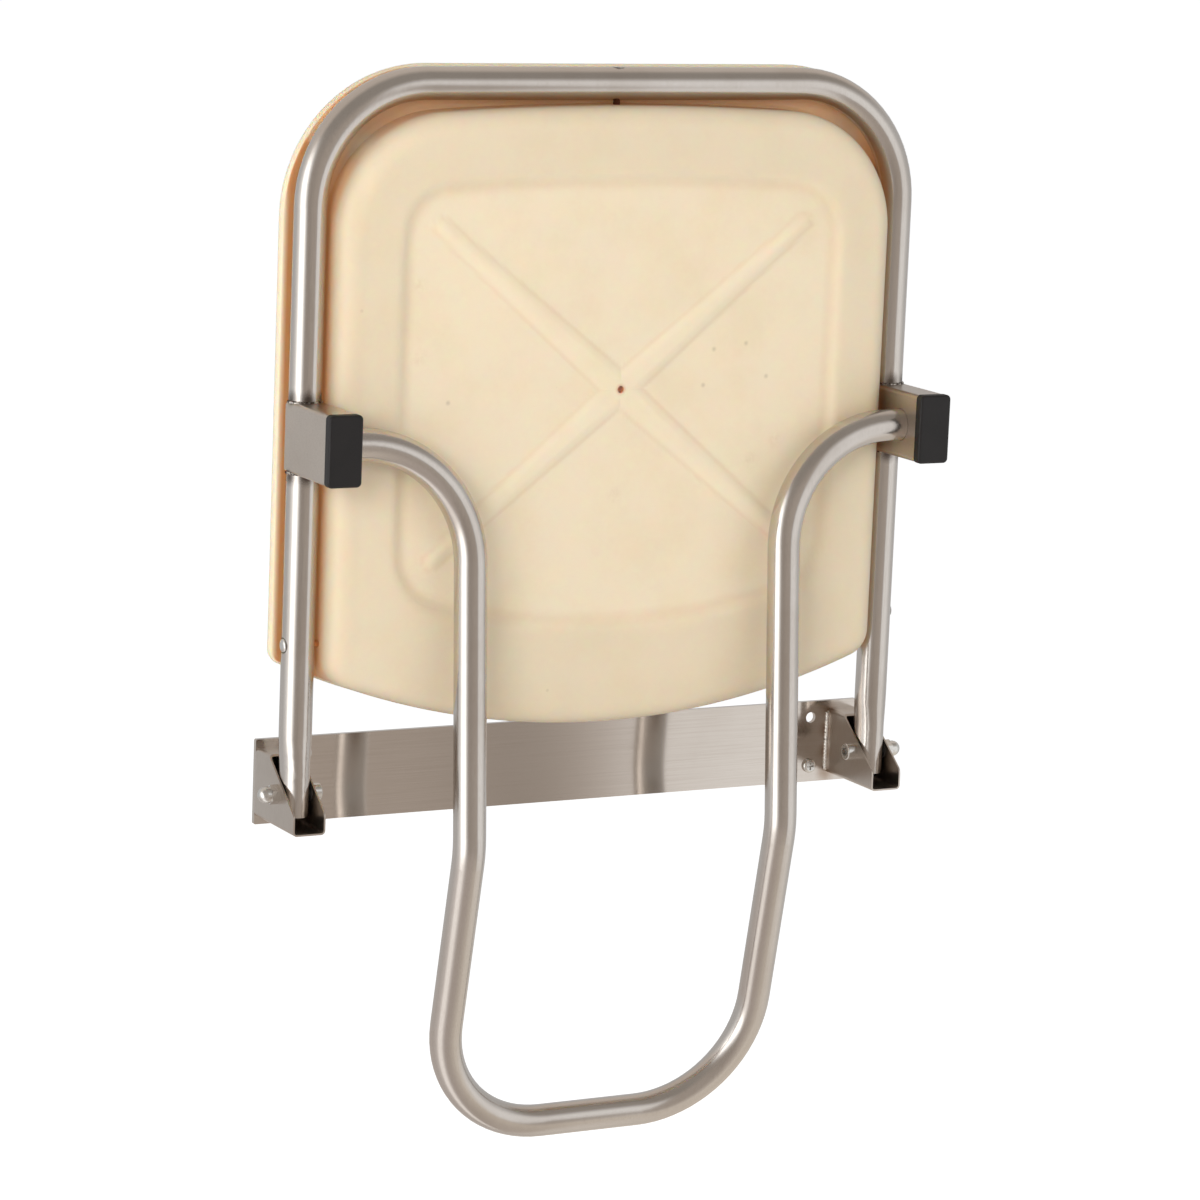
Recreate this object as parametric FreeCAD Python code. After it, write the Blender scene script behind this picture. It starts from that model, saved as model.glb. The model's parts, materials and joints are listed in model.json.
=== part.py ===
import FreeCAD, Part
import math
import os

# Fold down wall seat: a wall plate with two hinge brackets, a U shaped seat frame of round
# tube with a blow moulded seat panel, and one bent leg tube that swings in two box blocks.
# Millimetres. X runs to the right along the wall plate, Y into the wall, Z up.
# The origin is the middle of the wall plate's back face. The seat is drawn folded up.

# Round tube of the frame and the leg
tube_diameter = 19.0
tube_wall = 1.5

# Rectangular box section of the hinge brackets and the leg blocks
section_width = 20.0
section_height = 40.0
section_wall = 1.0
section_corner_radius = 2.5

# Wall plate and its holes
plate_width = 400.0
plate_height = 50.0
plate_thickness = 3.0
plate_corner_radius = 1.0
wall_hole_diameter = 6.5
wall_screw_hole_diameter = 4.5
wall_hole_side_margin = 32.0
wall_hole_edge_margin = 10.0

# Hinge brackets
bracket_reach = 55.0
bracket_top_reach = 18.0
bracket_front_height = 12.0
bracket_tip_radius = 5.0

# Fold pivot: distance in front of the wall, above the plate's middle
pivot_offset = 35.0
pivot_height = 0.0
pivot_screw_diameter = 6.0
pivot_screw_length = 25.0
pivot_running_clearance = 0.1
pivot_washer_thickness = 0.3
pivot_washer_diameter = 12.0
pivot_side_gap = 0.1

# Socket head and dome nut of the pivots
socket_head_diameter = 10.0
socket_head_height = 6.0
socket_head_edge_round = 0.6
socket_across_flats = 5.0
socket_depth = 3.0
nut_across_flats = 10.0
nut_hex_height = 5.0
nut_height = 12.0
nut_dome_diameter = 9.5
nut_bore_depth = 8.0

# Seat frame
frame_rise = 403.0
frame_bend_radius = 69.0
frame_tail = 12.5
squeeze_top = 14.0
squeeze_blend = 22.0
blend_sections = 8

# Seat panel
deck_thickness = 7.5
deck_side_overhang = 3.2
deck_top_overhang = 0.8
deck_top_corner_radius = 86.0
deck_rear_rise = 30.5
deck_rear_corner_radius = 9.0
deck_edge_round = 3.0
deck_lip_round = 2.0
pan_side_gap = 2.6
pan_top_gap = 2.5
pan_top_bow_radius = 1900.0
pan_top_corner_radius = 70.0
pan_projection = 21.0
pan_edge_round = 12.0
pan_rear_rise = 32.0
pan_rear_corner_radius = 18.0
panel_wall = 2.5
rear_bow_radius = 475.0

# Recess in the panel's underside, with a cross of two low ridges and a vent hole
recess_half_width = 142.5
recess_top_rise = 353.5
recess_top_bow_radius = 1740.0
recess_rear_rise = 89.0
recess_corner_radius = 30.0
recess_depth = 3.0
recess_slope = 5.0
ridge_width = 21.0
ridge_end_width = 13.0
ridge_height = 1.5
ridge_reach_across = 117.0
ridge_reach_along = 95.0
vent_rise = 229.0
vent_diameter = 4.0

# Screws that hold the panel in the frame
seat_screw_diameter = 4.0
seat_screw_clearance = 0.1
seat_screw_length = 28.0
seat_screw_rise = 86.0
countersink_depth = 2.6
front_screw_length = 30.0
front_head_diameter = 7.5
side_countersink_diameter = 9.2
side_head_diameter = 7.6
side_head_crown = 0.8

# Screws in the wall plate's lower holes
wall_screw_diameter = 4.0
wall_screw_head_diameter = 8.4
wall_screw_head_height = 2.4
wall_screw_head_round = 1.5
cross_recess_length = 4.6
cross_recess_width = 1.1
cross_recess_depth = 1.3

# Leg blocks and their end caps
block_rise = 205.0
block_wrap = 3.5
block_reach = 52.0
cap_head_thickness = 5.5
cap_overlap = 0.3
cap_insert_depth = 6.0
cap_insert_clearance = 0.1
cap_wall = 2.0
cap_edge_round = 1.5

# Leg
leg_pivot_reach = 34.0
leg_half_width = 102.0
leg_top_bend_radius = 70.0
leg_foot_bend_radius = 70.0
leg_upper_length = 235.0
leg_lower_length = 180.0
leg_upper_lean = 4.0
leg_lower_lean = 11.5
leg_kink_radius = 60.0
leg_running_clearance = 0.1
leg_end_gap = 1.0

# Worked out from the sizes above
tube_radius = tube_diameter / 2
bracket_centre = plate_width / 2 - section_width / 2
frame_plane = -pivot_offset
plate_front = -plate_thickness
wall_hole_x = plate_width / 2 - wall_hole_side_margin
wall_hole_z = plate_height / 2 - wall_hole_edge_margin
ear_outer = bracket_centre + section_width / 2
ear_inner = bracket_centre - section_width / 2
ear_gap = section_width - 2 * section_wall
squeezed_width = ear_gap - 2 * (pivot_washer_thickness + pivot_side_gap)
squeezed_depth = math.sqrt(2 * tube_diameter**2 - squeezed_width**2)
block_height = pivot_height + block_rise
leg_pivot_y = frame_plane - leg_pivot_reach
seat_screw_height = pivot_height + seat_screw_rise
frame_top = pivot_height + frame_rise
sides = {"left": -1, "right": 1}


def vec(x, y, z):
    """A point or direction."""
    return FreeCAD.Vector(x, y, z)


def cylinder(radius, start, direction, length):
    """A round bar from start along direction."""
    return Part.makeCylinder(radius, length, start, direction)


def bent_path(points, radii):
    """A wire of straight runs joined by tangent arcs, one radius for each inner point."""
    edges = []
    last = points[0]
    for before, corner, after, radius in zip(points, points[1:], points[2:], radii):
        into = (corner - before).normalize()
        out = (after - corner).normalize()
        turn = into.getAngle(out)
        setback = radius * math.tan(turn / 2)
        start = corner - into * setback
        end = corner + out * setback
        inward = (out - into).normalize()
        centre = corner + inward * (radius / math.cos(turn / 2))
        middle = centre - inward * radius
        edges.append(Part.LineSegment(last, start).toShape())
        edges.append(Part.Arc(start, middle, end).toShape())
        last = end
    edges.append(Part.LineSegment(last, points[-1]).toShape())
    return Part.Wire(edges)


def swept_bar(points, radii, radius):
    """A round bar along a bent path."""
    path = bent_path(points, radii)
    direction = points[1] - points[0]
    ring = Part.Wire(Part.makeCircle(radius, points[0], direction))
    return path.makePipeShell([ring], True, True)


def oval_wire(x, height, width, depth):
    """An oval section of one frame tube, deeper than it is wide."""
    centre = vec(x, frame_plane, height)
    tip = centre + vec(0, depth / 2, 0)
    side = centre + vec(width / 2, 0, 0)
    return Part.Wire(Part.Ellipse(tip, side, centre).toShape())


def squeezed_end(x, inset):
    """The lower end of one frame tube: an oval length, then a blend up to the round tube."""
    round_width = tube_diameter - 2 * inset
    width = squeezed_width - 2 * inset
    depth = squeezed_depth - 2 * inset
    bottom = pivot_height - frame_tail
    middle = pivot_height + squeeze_top
    oval = Part.Face(oval_wire(x, bottom, width, depth))
    prism = oval.extrude(vec(0, 0, middle - bottom))
    sections = []
    for step in range(blend_sections):
        share = step / blend_sections
        ease = share * share * (3 - 2 * share)
        height = middle + squeeze_blend * share
        across = width + (round_width - width) * ease
        along = depth + (round_width - depth) * ease
        sections.append(oval_wire(x, height, across, along))
    top = vec(x, frame_plane, middle + squeeze_blend)
    ring = Part.Wire(Part.makeCircle(round_width / 2, top))
    ring.rotate(top, vec(0, 0, 1), 90)
    blend = Part.makeLoft(sections + [ring], True, False)
    return prism.fuse(blend)


def frame_bar(inset):
    """The solid inside the frame's skin, or inside its bore when inset is the wall."""
    start = pivot_height + squeeze_top + squeeze_blend
    corners = [
        vec(-bracket_centre, frame_plane, start),
        vec(-bracket_centre, frame_plane, frame_top),
        vec(bracket_centre, frame_plane, frame_top),
        vec(bracket_centre, frame_plane, start),
    ]
    bar = swept_bar(corners, [frame_bend_radius] * 2, tube_radius - inset)
    for side in sides.values():
        bar = bar.fuse(squeezed_end(side * bracket_centre, inset))
    return bar


def rounded_rectangle(width, height, radius, y):
    """A rounded rectangle in a plane of constant Y, centred on the Z axis."""
    half_width = width / 2
    half_height = height / 2
    edges = []
    corners = [(1, 1), (-1, 1), (-1, -1), (1, -1)]
    for number, (right, up) in enumerate(corners):
        centre = vec(right * (half_width - radius), y, up * (half_height - radius))
        start = math.pi / 2 * number
        angles = [start, start + math.pi / 4, start + math.pi / 2]
        arc = [centre + vec(math.cos(a), 0, math.sin(a)) * radius for a in angles]
        if edges:
            edges.append(Part.LineSegment(last, arc[0]).toShape())
        else:
            first = arc[0]
        edges.append(Part.Arc(*arc).toShape())
        last = arc[2]
    edges.append(Part.LineSegment(last, first).toShape())
    return Part.Wire(edges)


def box_length(x, z, start, end):
    """A length of box section standing out from the wall between two Y values."""
    outer = rounded_rectangle(section_width, section_height, section_corner_radius, start)
    inner_width = section_width - 2 * section_wall
    inner_height = section_height - 2 * section_wall
    inner_radius = section_corner_radius - section_wall
    inner = rounded_rectangle(inner_width, inner_height, inner_radius, start)
    run = vec(0, end - start, 0)
    length = Part.Face(outer).extrude(run).cut(Part.Face(inner).extrude(run))
    length.translate(vec(x, 0, z))
    return length


def outline_end(half_width, level, bow_radius, corner_radius, up, y):
    """One end of the seat's outline: a straight or bowed edge with a round corner at each side.

    Gives its edges and the height where the corners meet the outline's sides.
    """
    corner_x = half_width - corner_radius
    corner_z = level - up * corner_radius
    lean = 0.0
    if bow_radius:
        reach = bow_radius - corner_radius
        lean = math.asin(corner_x / reach)
        corner_z = level - up * (bow_radius - reach * math.cos(lean))
    edges = []
    ends = []
    for side in (1, -1):
        centre = vec(side * corner_x, y, corner_z)
        out = vec(side, 0, 0)
        over = vec(side * math.sin(lean), 0, up * math.cos(lean))
        arc = [centre + way * corner_radius for way in (out, (out + over).normalize(), over)]
        edges.append(Part.Arc(*arc).toShape())
        ends.append(arc[2])
    if bow_radius:
        edges.append(Part.Arc(ends[0], vec(0, y, level), ends[1]).toShape())
    else:
        edges.append(Part.LineSegment(*ends).toShape())
    return edges, corner_z


def seat_outline(half_width, top, rear, y):
    """The seat's plan outline. Top and rear give an edge's height, bow and corner radius."""
    edges, shoulder = outline_end(half_width, *top, 1, y)
    rear_edges, hip = outline_end(half_width, *rear, -1, y)
    for side in (1, -1):
        ends = [vec(side * half_width, y, z) for z in (shoulder, hip)]
        edges.append(Part.LineSegment(*ends).toShape())
    return Part.Wire(Part.sortEdges(edges + rear_edges)[0])


def edges_in_plane(shape, value, axis="Y"):
    """The edges of a shape that lie in a plane across the X or Y axis."""
    found = []
    for edge in shape.Edges:
        box = edge.BoundBox
        reach = (box.XMin, box.XMax) if axis == "X" else (box.YMin, box.YMax)
        if abs(reach[0] - value) < 1e-6 and abs(reach[1] - value) < 1e-6:
            found.append(edge)
    return found


def wall_plate():
    """The flat bar against the wall, with an upper and a lower hole near each end."""
    plate = Part.Face(rounded_rectangle(plate_width, plate_height, plate_corner_radius, 0))
    plate = plate.extrude(vec(0, plate_front, 0))
    for side in sides.values():
        x = side * wall_hole_x
        upper = vec(x, 0, wall_hole_z)
        lower = vec(x, 0, -wall_hole_z)
        plate = plate.cut(cylinder(wall_hole_diameter / 2, upper, vec(0, -1, 0), plate_thickness))
        plate = plate.cut(
            cylinder(wall_screw_hole_diameter / 2, lower, vec(0, -1, 0), plate_thickness)
        )
    return plate


def hinge_bracket(side):
    """A stub of box section on the plate, cut away to two ears and a floor."""
    front = plate_front - bracket_reach
    top = section_height / 2
    stub = box_length(side * bracket_centre, 0, plate_front, front)
    shelf_end = plate_front - bracket_top_reach
    lip = -top + bracket_front_height
    corners = [
        vec(-section_width, shelf_end, top),
        vec(-section_width, front, lip),
        vec(-section_width, front - section_wall, lip),
        vec(-section_width, front - section_wall, top + section_wall),
        vec(-section_width, shelf_end, top + section_wall),
    ]
    wedge = Part.Face(Part.makePolygon(corners + corners[:1]))
    wedge = wedge.extrude(vec(2 * section_width, 0, 0))
    wedge.translate(vec(side * bracket_centre, 0, 0))
    bore = cylinder(
        pivot_screw_diameter / 2 + pivot_running_clearance,
        vec(side * bracket_centre - section_width, frame_plane, pivot_height),
        vec(1, 0, 0),
        2 * section_width,
    )
    bracket = stub.cut(wedge).cut(bore)
    tips = []
    for edge in bracket.Edges:
        ends = [(point.Y, point.Z) for point in edge.Vertexes]
        if all(abs(y - front) < 0.01 and abs(z - lip) < 0.01 for y, z in ends):
            tips.append(edge)
    return bracket.makeFillet(bracket_tip_radius, tips)


def hexagon(across_flats, start, direction, length):
    """A hexagonal bar from start along the X direction given."""
    radius = across_flats / math.sqrt(3)
    angles = [math.pi / 3 * n for n in range(7)]
    corners = [start + vec(0, math.sin(a), math.cos(a)) * radius for a in angles]
    return Part.Face(Part.makePolygon(corners)).extrude(direction * length)


def pivot_screw(side):
    """The socket head screw through both ears, its head on the inner ear."""
    out = vec(side, 0, 0)
    seat = vec(side * ear_inner, frame_plane, pivot_height)
    head = cylinder(socket_head_diameter / 2, seat, -out, socket_head_height)
    face = seat - out * socket_head_height
    head = head.makeFillet(socket_head_edge_round, edges_in_plane(head, face.x, "X"))
    head = head.cut(hexagon(socket_across_flats, face, out, socket_depth))
    shank = cylinder(pivot_screw_diameter / 2, seat, out, pivot_screw_length)
    return head.fuse(shank)


def pivot_dome_nut(side):
    """The closed dome nut on the outer ear."""
    out = vec(side, 0, 0)
    seat = vec(side * ear_outer, frame_plane, pivot_height)
    radius = nut_dome_diameter / 2
    nut = hexagon(nut_across_flats, seat, out, nut_hex_height)
    neck = cylinder(radius, seat, out, nut_height - radius)
    dome = Part.makeSphere(radius, seat + out * (nut_height - radius))
    bore = cylinder(pivot_screw_diameter / 2, seat, out, nut_bore_depth)
    return nut.fuse([neck, dome]).cut(bore)


def pivot_washers(side):
    """Two plastic washers between the ears and the squeezed tube."""
    bore_radius = pivot_screw_diameter / 2 + pivot_running_clearance
    washers = []
    for face, out in ((-ear_gap / 2, 1), (ear_gap / 2, -1)):
        start = vec(side * bracket_centre + face, frame_plane, pivot_height)
        disc = cylinder(pivot_washer_diameter / 2, start, vec(out, 0, 0), pivot_washer_thickness)
        bore = cylinder(bore_radius, start, vec(out, 0, 0), pivot_washer_thickness)
        washers.append(disc.cut(bore))
    return Part.makeCompound(washers)


def wall_screw(side):
    """The cross recess screw in a lower hole of the plate, as far as the plate's back face."""
    x = side * wall_hole_x
    seat = vec(x, plate_front, -wall_hole_z)
    out = vec(0, -1, 0)
    head = cylinder(wall_screw_head_diameter / 2, seat, out, wall_screw_head_height)
    rim = edges_in_plane(head, plate_front - wall_screw_head_height)
    head = head.makeFillet(wall_screw_head_round, rim)
    shank = cylinder(wall_screw_diameter / 2, seat, vec(0, 1, 0), plate_thickness)
    screw = head.fuse(shank)
    for size in ((cross_recess_length, cross_recess_width), (cross_recess_width, cross_recess_length)):
        slot = Part.makeBox(size[0], cross_recess_depth, size[1])
        slot.translate(seat + out * wall_screw_head_height - vec(size[0] / 2, 0, size[1] / 2))
        screw = screw.cut(slot)
    return screw


def seat_frame_tube():
    """The U of round tube, its ends squeezed flat and bored for the pivots and screws."""
    tube = frame_bar(0).cut(frame_bar(tube_wall))
    for side in sides.values():
        bore = cylinder(
            pivot_screw_diameter / 2 + pivot_running_clearance,
            vec(side * (bracket_centre - section_width), frame_plane, pivot_height),
            vec(side, 0, 0),
            2 * section_width,
        )
        hole = cylinder(
            seat_screw_diameter / 2 + seat_screw_clearance,
            side_screw_seat(side),
            vec(-side, 0, 0),
            seat_screw_length,
        )
        tube = tube.cut(bore).cut(hole).cut(side_countersink(side))
    return tube.cut(front_screw_bar(seat_screw_clearance))


def side_screw_seat(side):
    """The point of the frame's outer side where a side screw goes in."""
    return vec(side * (bracket_centre + tube_radius), frame_plane, seat_screw_height)


def side_countersink(side):
    """The cone of a side screw's countersink, wider than its head."""
    return Part.makeCone(
        side_countersink_diameter / 2,
        seat_screw_diameter / 2,
        countersink_depth,
        side_screw_seat(side),
        vec(-side, 0, 0),
    )


def front_screw_bar(clearance):
    """The countersunk screw down through the middle of the frame's front tube."""
    top = vec(0, frame_plane, frame_top + tube_radius)
    down = vec(0, 0, -1)
    head = Part.makeCone(
        front_head_diameter / 2 + clearance,
        seat_screw_diameter / 2 + clearance,
        countersink_depth,
        top,
        down,
    )
    shank = cylinder(seat_screw_diameter / 2 + clearance, top, down, front_screw_length)
    return head.fuse(shank)


def slab(outline, depth):
    """A slab from a closed outline, towards the room by depth."""
    return Part.Face(outline).extrude(vec(0, -depth, 0))


def panel_outline(inset, y, deck=False):
    """The deck's or the pan's outline, drawn in by a wall."""
    if deck:
        half_width = bracket_centre + tube_radius + deck_side_overhang - inset
        level = frame_top + tube_radius + deck_top_overhang - inset
        top = (level, None, deck_top_corner_radius - inset)
        rear_rise = deck_rear_rise
        corner_radius = deck_rear_corner_radius
    else:
        half_width = bracket_centre - tube_radius - pan_side_gap - inset
        level = frame_top - tube_radius - pan_top_gap - inset
        top = (level, pan_top_bow_radius - inset, pan_top_corner_radius - inset)
        rear_rise = pan_rear_rise
        corner_radius = pan_rear_corner_radius
    rear = (pivot_height + rear_rise + inset, rear_bow_radius - inset, corner_radius - inset)
    return seat_outline(half_width, top, rear, y)


def recess_outline(inset, y):
    """The recess's outline, drawn in towards its floor."""
    corner = recess_corner_radius - inset
    top = (pivot_height + recess_top_rise - inset, recess_top_bow_radius - inset, corner)
    rear = (pivot_height + recess_rear_rise + inset, rear_bow_radius - inset, corner)
    return seat_outline(recess_half_width - inset, top, rear, y)


def ridge(side, y):
    """One low ridge of the cross, widest in the middle, with round ends."""
    centre = vec(0, y, pivot_height + vent_rise)
    reach = vec(side * ridge_reach_across, 0, ridge_reach_along)
    along = vec(reach.x, reach.y, reach.z).normalize()
    across = vec(-along.z, 0, along.x)
    waist = across * (ridge_width / 2)
    end_radius = ridge_end_width / 2
    edges = []
    for way in (1, -1):
        end = centre + reach * way
        ends = [end - across * end_radius * way, end + across * end_radius * way]
        edges.append(Part.LineSegment(centre - waist * way, ends[0]).toShape())
        edges.append(Part.Arc(ends[0], end + along * end_radius * way, ends[1]).toShape())
        edges.append(Part.LineSegment(ends[1], centre + waist * way).toShape())
    return slab(Part.Wire(edges), ridge_height)


def seat_panel():
    """The hollow seat: a deck over the frame, a pan between its tubes, a recess below."""
    deck_front = frame_plane + tube_radius
    deck_back = deck_front + deck_thickness
    deck = slab(panel_outline(0, deck_back, deck=True), deck_thickness)
    deck = deck.makeFillet(deck_edge_round, edges_in_plane(deck, deck_back))
    deck = deck.makeFillet(deck_lip_round, edges_in_plane(deck, deck_front))
    pan_back = deck_front + deck_thickness / 2
    pan_front = frame_plane - pan_projection
    pan = slab(panel_outline(0, pan_back), pan_back - pan_front)
    pan = pan.makeFillet(pan_edge_round, edges_in_plane(pan, pan_front))
    panel = deck.fuse(pan)
    recess_floor = pan_front + recess_depth
    mouths = [recess_outline(0, pan_front), recess_outline(recess_slope, recess_floor)]
    panel = panel.cut(Part.makeLoft(mouths, True, True))
    for side in (1, -1):
        panel = panel.fuse(ridge(side, recess_floor))
    cavity_back = deck_back - panel_wall
    cavity_front = recess_floor + panel_wall
    cavity = slab(panel_outline(panel_wall, cavity_back), cavity_back - cavity_front)
    panel = panel.cut(cavity)
    vent = cylinder(
        vent_diameter / 2,
        vec(0, pan_front, pivot_height + vent_rise),
        vec(0, 1, 0),
        recess_depth + 2 * panel_wall,
    )
    panel = panel.cut(vent)
    for side in sides.values():
        start = side_screw_seat(side)
        hole = cylinder(seat_screw_diameter / 2, start, vec(-side, 0, 0), seat_screw_length)
        panel = panel.cut(hole)
    return panel.cut(front_screw_bar(0))


def seat_side_screw(side):
    """The raised countersunk screw through the side of the frame into the pan."""
    out = vec(side, 0, 0)
    mouth = side_countersink_diameter - seat_screw_diameter
    sink = countersink_depth * (side_countersink_diameter - side_head_diameter) / mouth
    rim = side_screw_seat(side) - out * sink
    half = side_head_diameter / 2
    radius = (half**2 + side_head_crown**2) / (2 * side_head_crown)
    ball = Part.makeSphere(radius, rim + out * (side_head_crown - radius))
    crown = ball.common(cylinder(half, rim, out, side_head_crown))
    seat_radius = seat_screw_diameter / 2
    cone = Part.makeCone(half, seat_radius, countersink_depth - sink, rim, -out)
    shank = cylinder(seat_radius, rim, -out, seat_screw_length - sink)
    screw = shank.fuse([cone, crown])
    for size in ((cross_recess_length, cross_recess_width), (cross_recess_width, cross_recess_length)):
        slot = Part.makeBox(cross_recess_depth, size[0], size[1])
        face = rim + out * side_head_crown
        if side > 0:
            face = face - out * cross_recess_depth
        slot.translate(face - vec(0, size[0] / 2, size[1] / 2))
        screw = screw.cut(slot)
    return screw


def leg_block(side):
    """The box stub coped round a frame tube and welded to it, bored for the leg on its inner wall."""
    x = side * bracket_centre
    stub = box_length(x, block_height, frame_plane + block_wrap, frame_plane - block_reach)
    saddle = cylinder(
        tube_radius,
        vec(x, frame_plane, block_height - section_height),
        vec(0, 0, 1),
        2 * section_height,
    )
    bore = cylinder(
        tube_radius + leg_running_clearance,
        vec(side * (ear_inner - section_wall), leg_pivot_y, block_height),
        vec(side, 0, 0),
        3 * section_wall,
    )
    return stub.cut(saddle).cut(bore)


def leg_block_cap(side):
    """The black end cap: a head over the block's end and a hollow plug inside it."""
    face = frame_plane - block_reach
    head = rounded_rectangle(
        section_width + 2 * cap_overlap,
        section_height + 2 * cap_overlap,
        section_corner_radius + cap_overlap,
        face,
    )
    cap = slab(head, cap_head_thickness)
    cap = cap.makeFillet(cap_edge_round, edges_in_plane(cap, face - cap_head_thickness))
    plug_width = section_width - 2 * section_wall - 2 * cap_insert_clearance
    plug_height = section_height - 2 * section_wall - 2 * cap_insert_clearance
    plug_radius = section_corner_radius - section_wall
    plug_start = face + cap_insert_depth
    plug = slab(rounded_rectangle(plug_width, plug_height, plug_radius, plug_start), cap_insert_depth)
    hollow = Part.makeBox(plug_width - 2 * cap_wall, cap_insert_depth, plug_height - 2 * cap_wall)
    hollow.translate(vec(cap_wall - plug_width / 2, face, cap_wall - plug_height / 2))
    cap = cap.fuse(plug).cut(hollow)
    cap.translate(vec(side * bracket_centre, 0, block_height))
    return cap


def leg_tube():
    """The leg: out turned ends, two uprights with a kink, and the foot bar between them."""
    pivot = vec(0, leg_pivot_y, block_height)
    upper = math.radians(leg_upper_lean)
    lower = math.radians(leg_lower_lean)
    kink = pivot + vec(0, -math.sin(upper), -math.cos(upper)) * leg_upper_length
    foot = kink + vec(0, math.sin(lower), -math.cos(lower)) * leg_lower_length
    end_x = ear_outer - section_wall - leg_end_gap
    left = [pivot + vec(-end_x, 0, 0)]
    left += [point - vec(leg_half_width, 0, 0) for point in (pivot, kink, foot)]
    right = [vec(-point.x, point.y, point.z) for point in reversed(left)]
    half_radii = [leg_top_bend_radius, leg_kink_radius, leg_foot_bend_radius]
    radii = half_radii + half_radii[::-1]
    outer = swept_bar(left + right, radii, tube_radius)
    bore = swept_bar(left + right, radii, tube_radius - tube_wall)
    return outer.cut(bore)


def main():
    """Builds each sub-part and writes it to its own file."""
    made = {
        "wall_plate": wall_plate(),
        "seat_frame_tube": seat_frame_tube(),
        "seat_panel": seat_panel(),
        "seat_front_screw": front_screw_bar(0),
        "leg_tube": leg_tube(),
    }
    for name, side in sides.items():
        made[f"{name}_hinge_bracket"] = hinge_bracket(side)
        made[f"{name}_pivot_screw"] = pivot_screw(side)
        made[f"{name}_pivot_dome_nut"] = pivot_dome_nut(side)
        made[f"{name}_pivot_washers"] = pivot_washers(side)
        made[f"{name}_wall_screw"] = wall_screw(side)
        made[f"{name}_seat_side_screw"] = seat_side_screw(side)
        made[f"{name}_leg_block"] = leg_block(side)
        made[f"{name}_leg_block_cap"] = leg_block_cap(side)
    os.makedirs("parts", exist_ok=True)
    for node, shape in made.items():
        solids = shape.Solids
        print(node, len(solids), "solids", round(shape.Volume), "mm3", shape.isValid())
        if len(solids) == 1:
            shape = solids[0]
        shape.exportStep(f"parts/{node}.step")


main()
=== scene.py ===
"""The looks of a fold down wall seat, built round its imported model.

Every node of the model gets a finish of its own. The blow moulded seat is made again with
soft forms, the side screws get domed heads, and weld beads join the brackets and the leg
blocks. The studio, its lamps and the camera come last.

Metres. X runs to the right along the wall plate, Y into the wall, Z up, and the origin is
the middle of the wall plate's back face. The seat is folded up.
"""

from __future__ import annotations

import json
import logging
import math
from collections.abc import Callable, Iterable, Mapping, Sequence
from dataclasses import dataclass
from enum import Enum
from functools import reduce
from typing import Any, NamedTuple, Union

import bmesh
import bpy
from mathutils import Matrix, Vector

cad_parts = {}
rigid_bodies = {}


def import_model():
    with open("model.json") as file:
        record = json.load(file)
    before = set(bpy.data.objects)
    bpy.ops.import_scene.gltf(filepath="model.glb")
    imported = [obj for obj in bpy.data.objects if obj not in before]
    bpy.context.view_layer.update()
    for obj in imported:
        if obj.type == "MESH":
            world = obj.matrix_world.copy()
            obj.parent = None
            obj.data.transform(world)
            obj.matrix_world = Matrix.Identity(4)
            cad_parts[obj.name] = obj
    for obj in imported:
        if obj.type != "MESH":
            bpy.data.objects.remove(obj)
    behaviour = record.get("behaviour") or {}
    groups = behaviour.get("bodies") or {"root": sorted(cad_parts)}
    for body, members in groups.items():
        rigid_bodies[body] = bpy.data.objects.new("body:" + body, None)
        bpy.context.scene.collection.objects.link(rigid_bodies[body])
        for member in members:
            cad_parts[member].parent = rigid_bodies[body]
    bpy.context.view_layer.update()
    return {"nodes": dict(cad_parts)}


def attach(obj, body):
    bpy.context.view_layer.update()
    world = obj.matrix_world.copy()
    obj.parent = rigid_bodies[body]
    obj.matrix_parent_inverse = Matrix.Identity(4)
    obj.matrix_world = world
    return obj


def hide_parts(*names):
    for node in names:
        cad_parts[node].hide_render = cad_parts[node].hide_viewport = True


log = logging.getLogger("wall_seat")

Colour = tuple[float, float, float]
Place = tuple[float, float, float]
Nodes = Mapping[str, bpy.types.Object]
Socket = bpy.types.NodeSocket
Material = bpy.types.Material
Verts = list[bmesh.types.BMVert]
Settings = Mapping[str, Any]
Inputs = Mapping[Union[int, str], Any]

SIDES: dict[str, int] = {"left": -1, "right": 1}
WHITE: Colour = (1.0, 1.0, 1.0)
BLACK: Colour = (0.0, 0.0, 0.0)


class Body(str, Enum):
    """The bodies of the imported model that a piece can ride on."""

    WALL = "wall_mount"
    SEAT = "seat"


class Slot(str, Enum):
    """The record's material slots, one of which each weld bead is given."""

    TUBE = "stainless_tube"
    PLATE = "stainless_plate"
    FASTENER = "bright_fastener"
    SEAT = "seat_plastic"


class Step(NamedTuple):
    """A smooth step from 0 at low to 1 at high. It falls where high is the smaller one."""

    low: float
    high: float

    def at(self, value: float) -> float:
        """The step's height at a value."""
        share = min(1.0, max(0.0, (value - self.low) / (self.high - self.low)))
        return share * share * (3 - 2 * share)


class Noise(NamedTuple):
    """A noise: its waves per metre, how many finer ones it adds and how strong those are."""

    scale: float
    detail: float = 3.0
    roughness: float = 0.5


def paint(red: int, green: int, blue: int) -> Colour:
    """Turns a screen colour into a shader's linear one.

    Args:
        red: Red, from 0 to 255.
        green: Green, from 0 to 255.
        blue: Blue, from 0 to 255.

    Returns:
        The colour in linear light.
    """

    def linear(part: int) -> float:
        """One channel in linear light."""
        share = part / 255
        return share / 12.92 if share <= 0.04045 else ((share + 0.055) / 1.055) ** 2.4

    return linear(red), linear(green), linear(blue)


def spread(start: float, end: float, count: int) -> list[float]:
    """Evenly spaced numbers from start, without the end."""
    return [start + (end - start) * i / count for i in range(count)]


# ---------------------------------------------------------------- shader graphs

Number = Union["Level", float]


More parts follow.
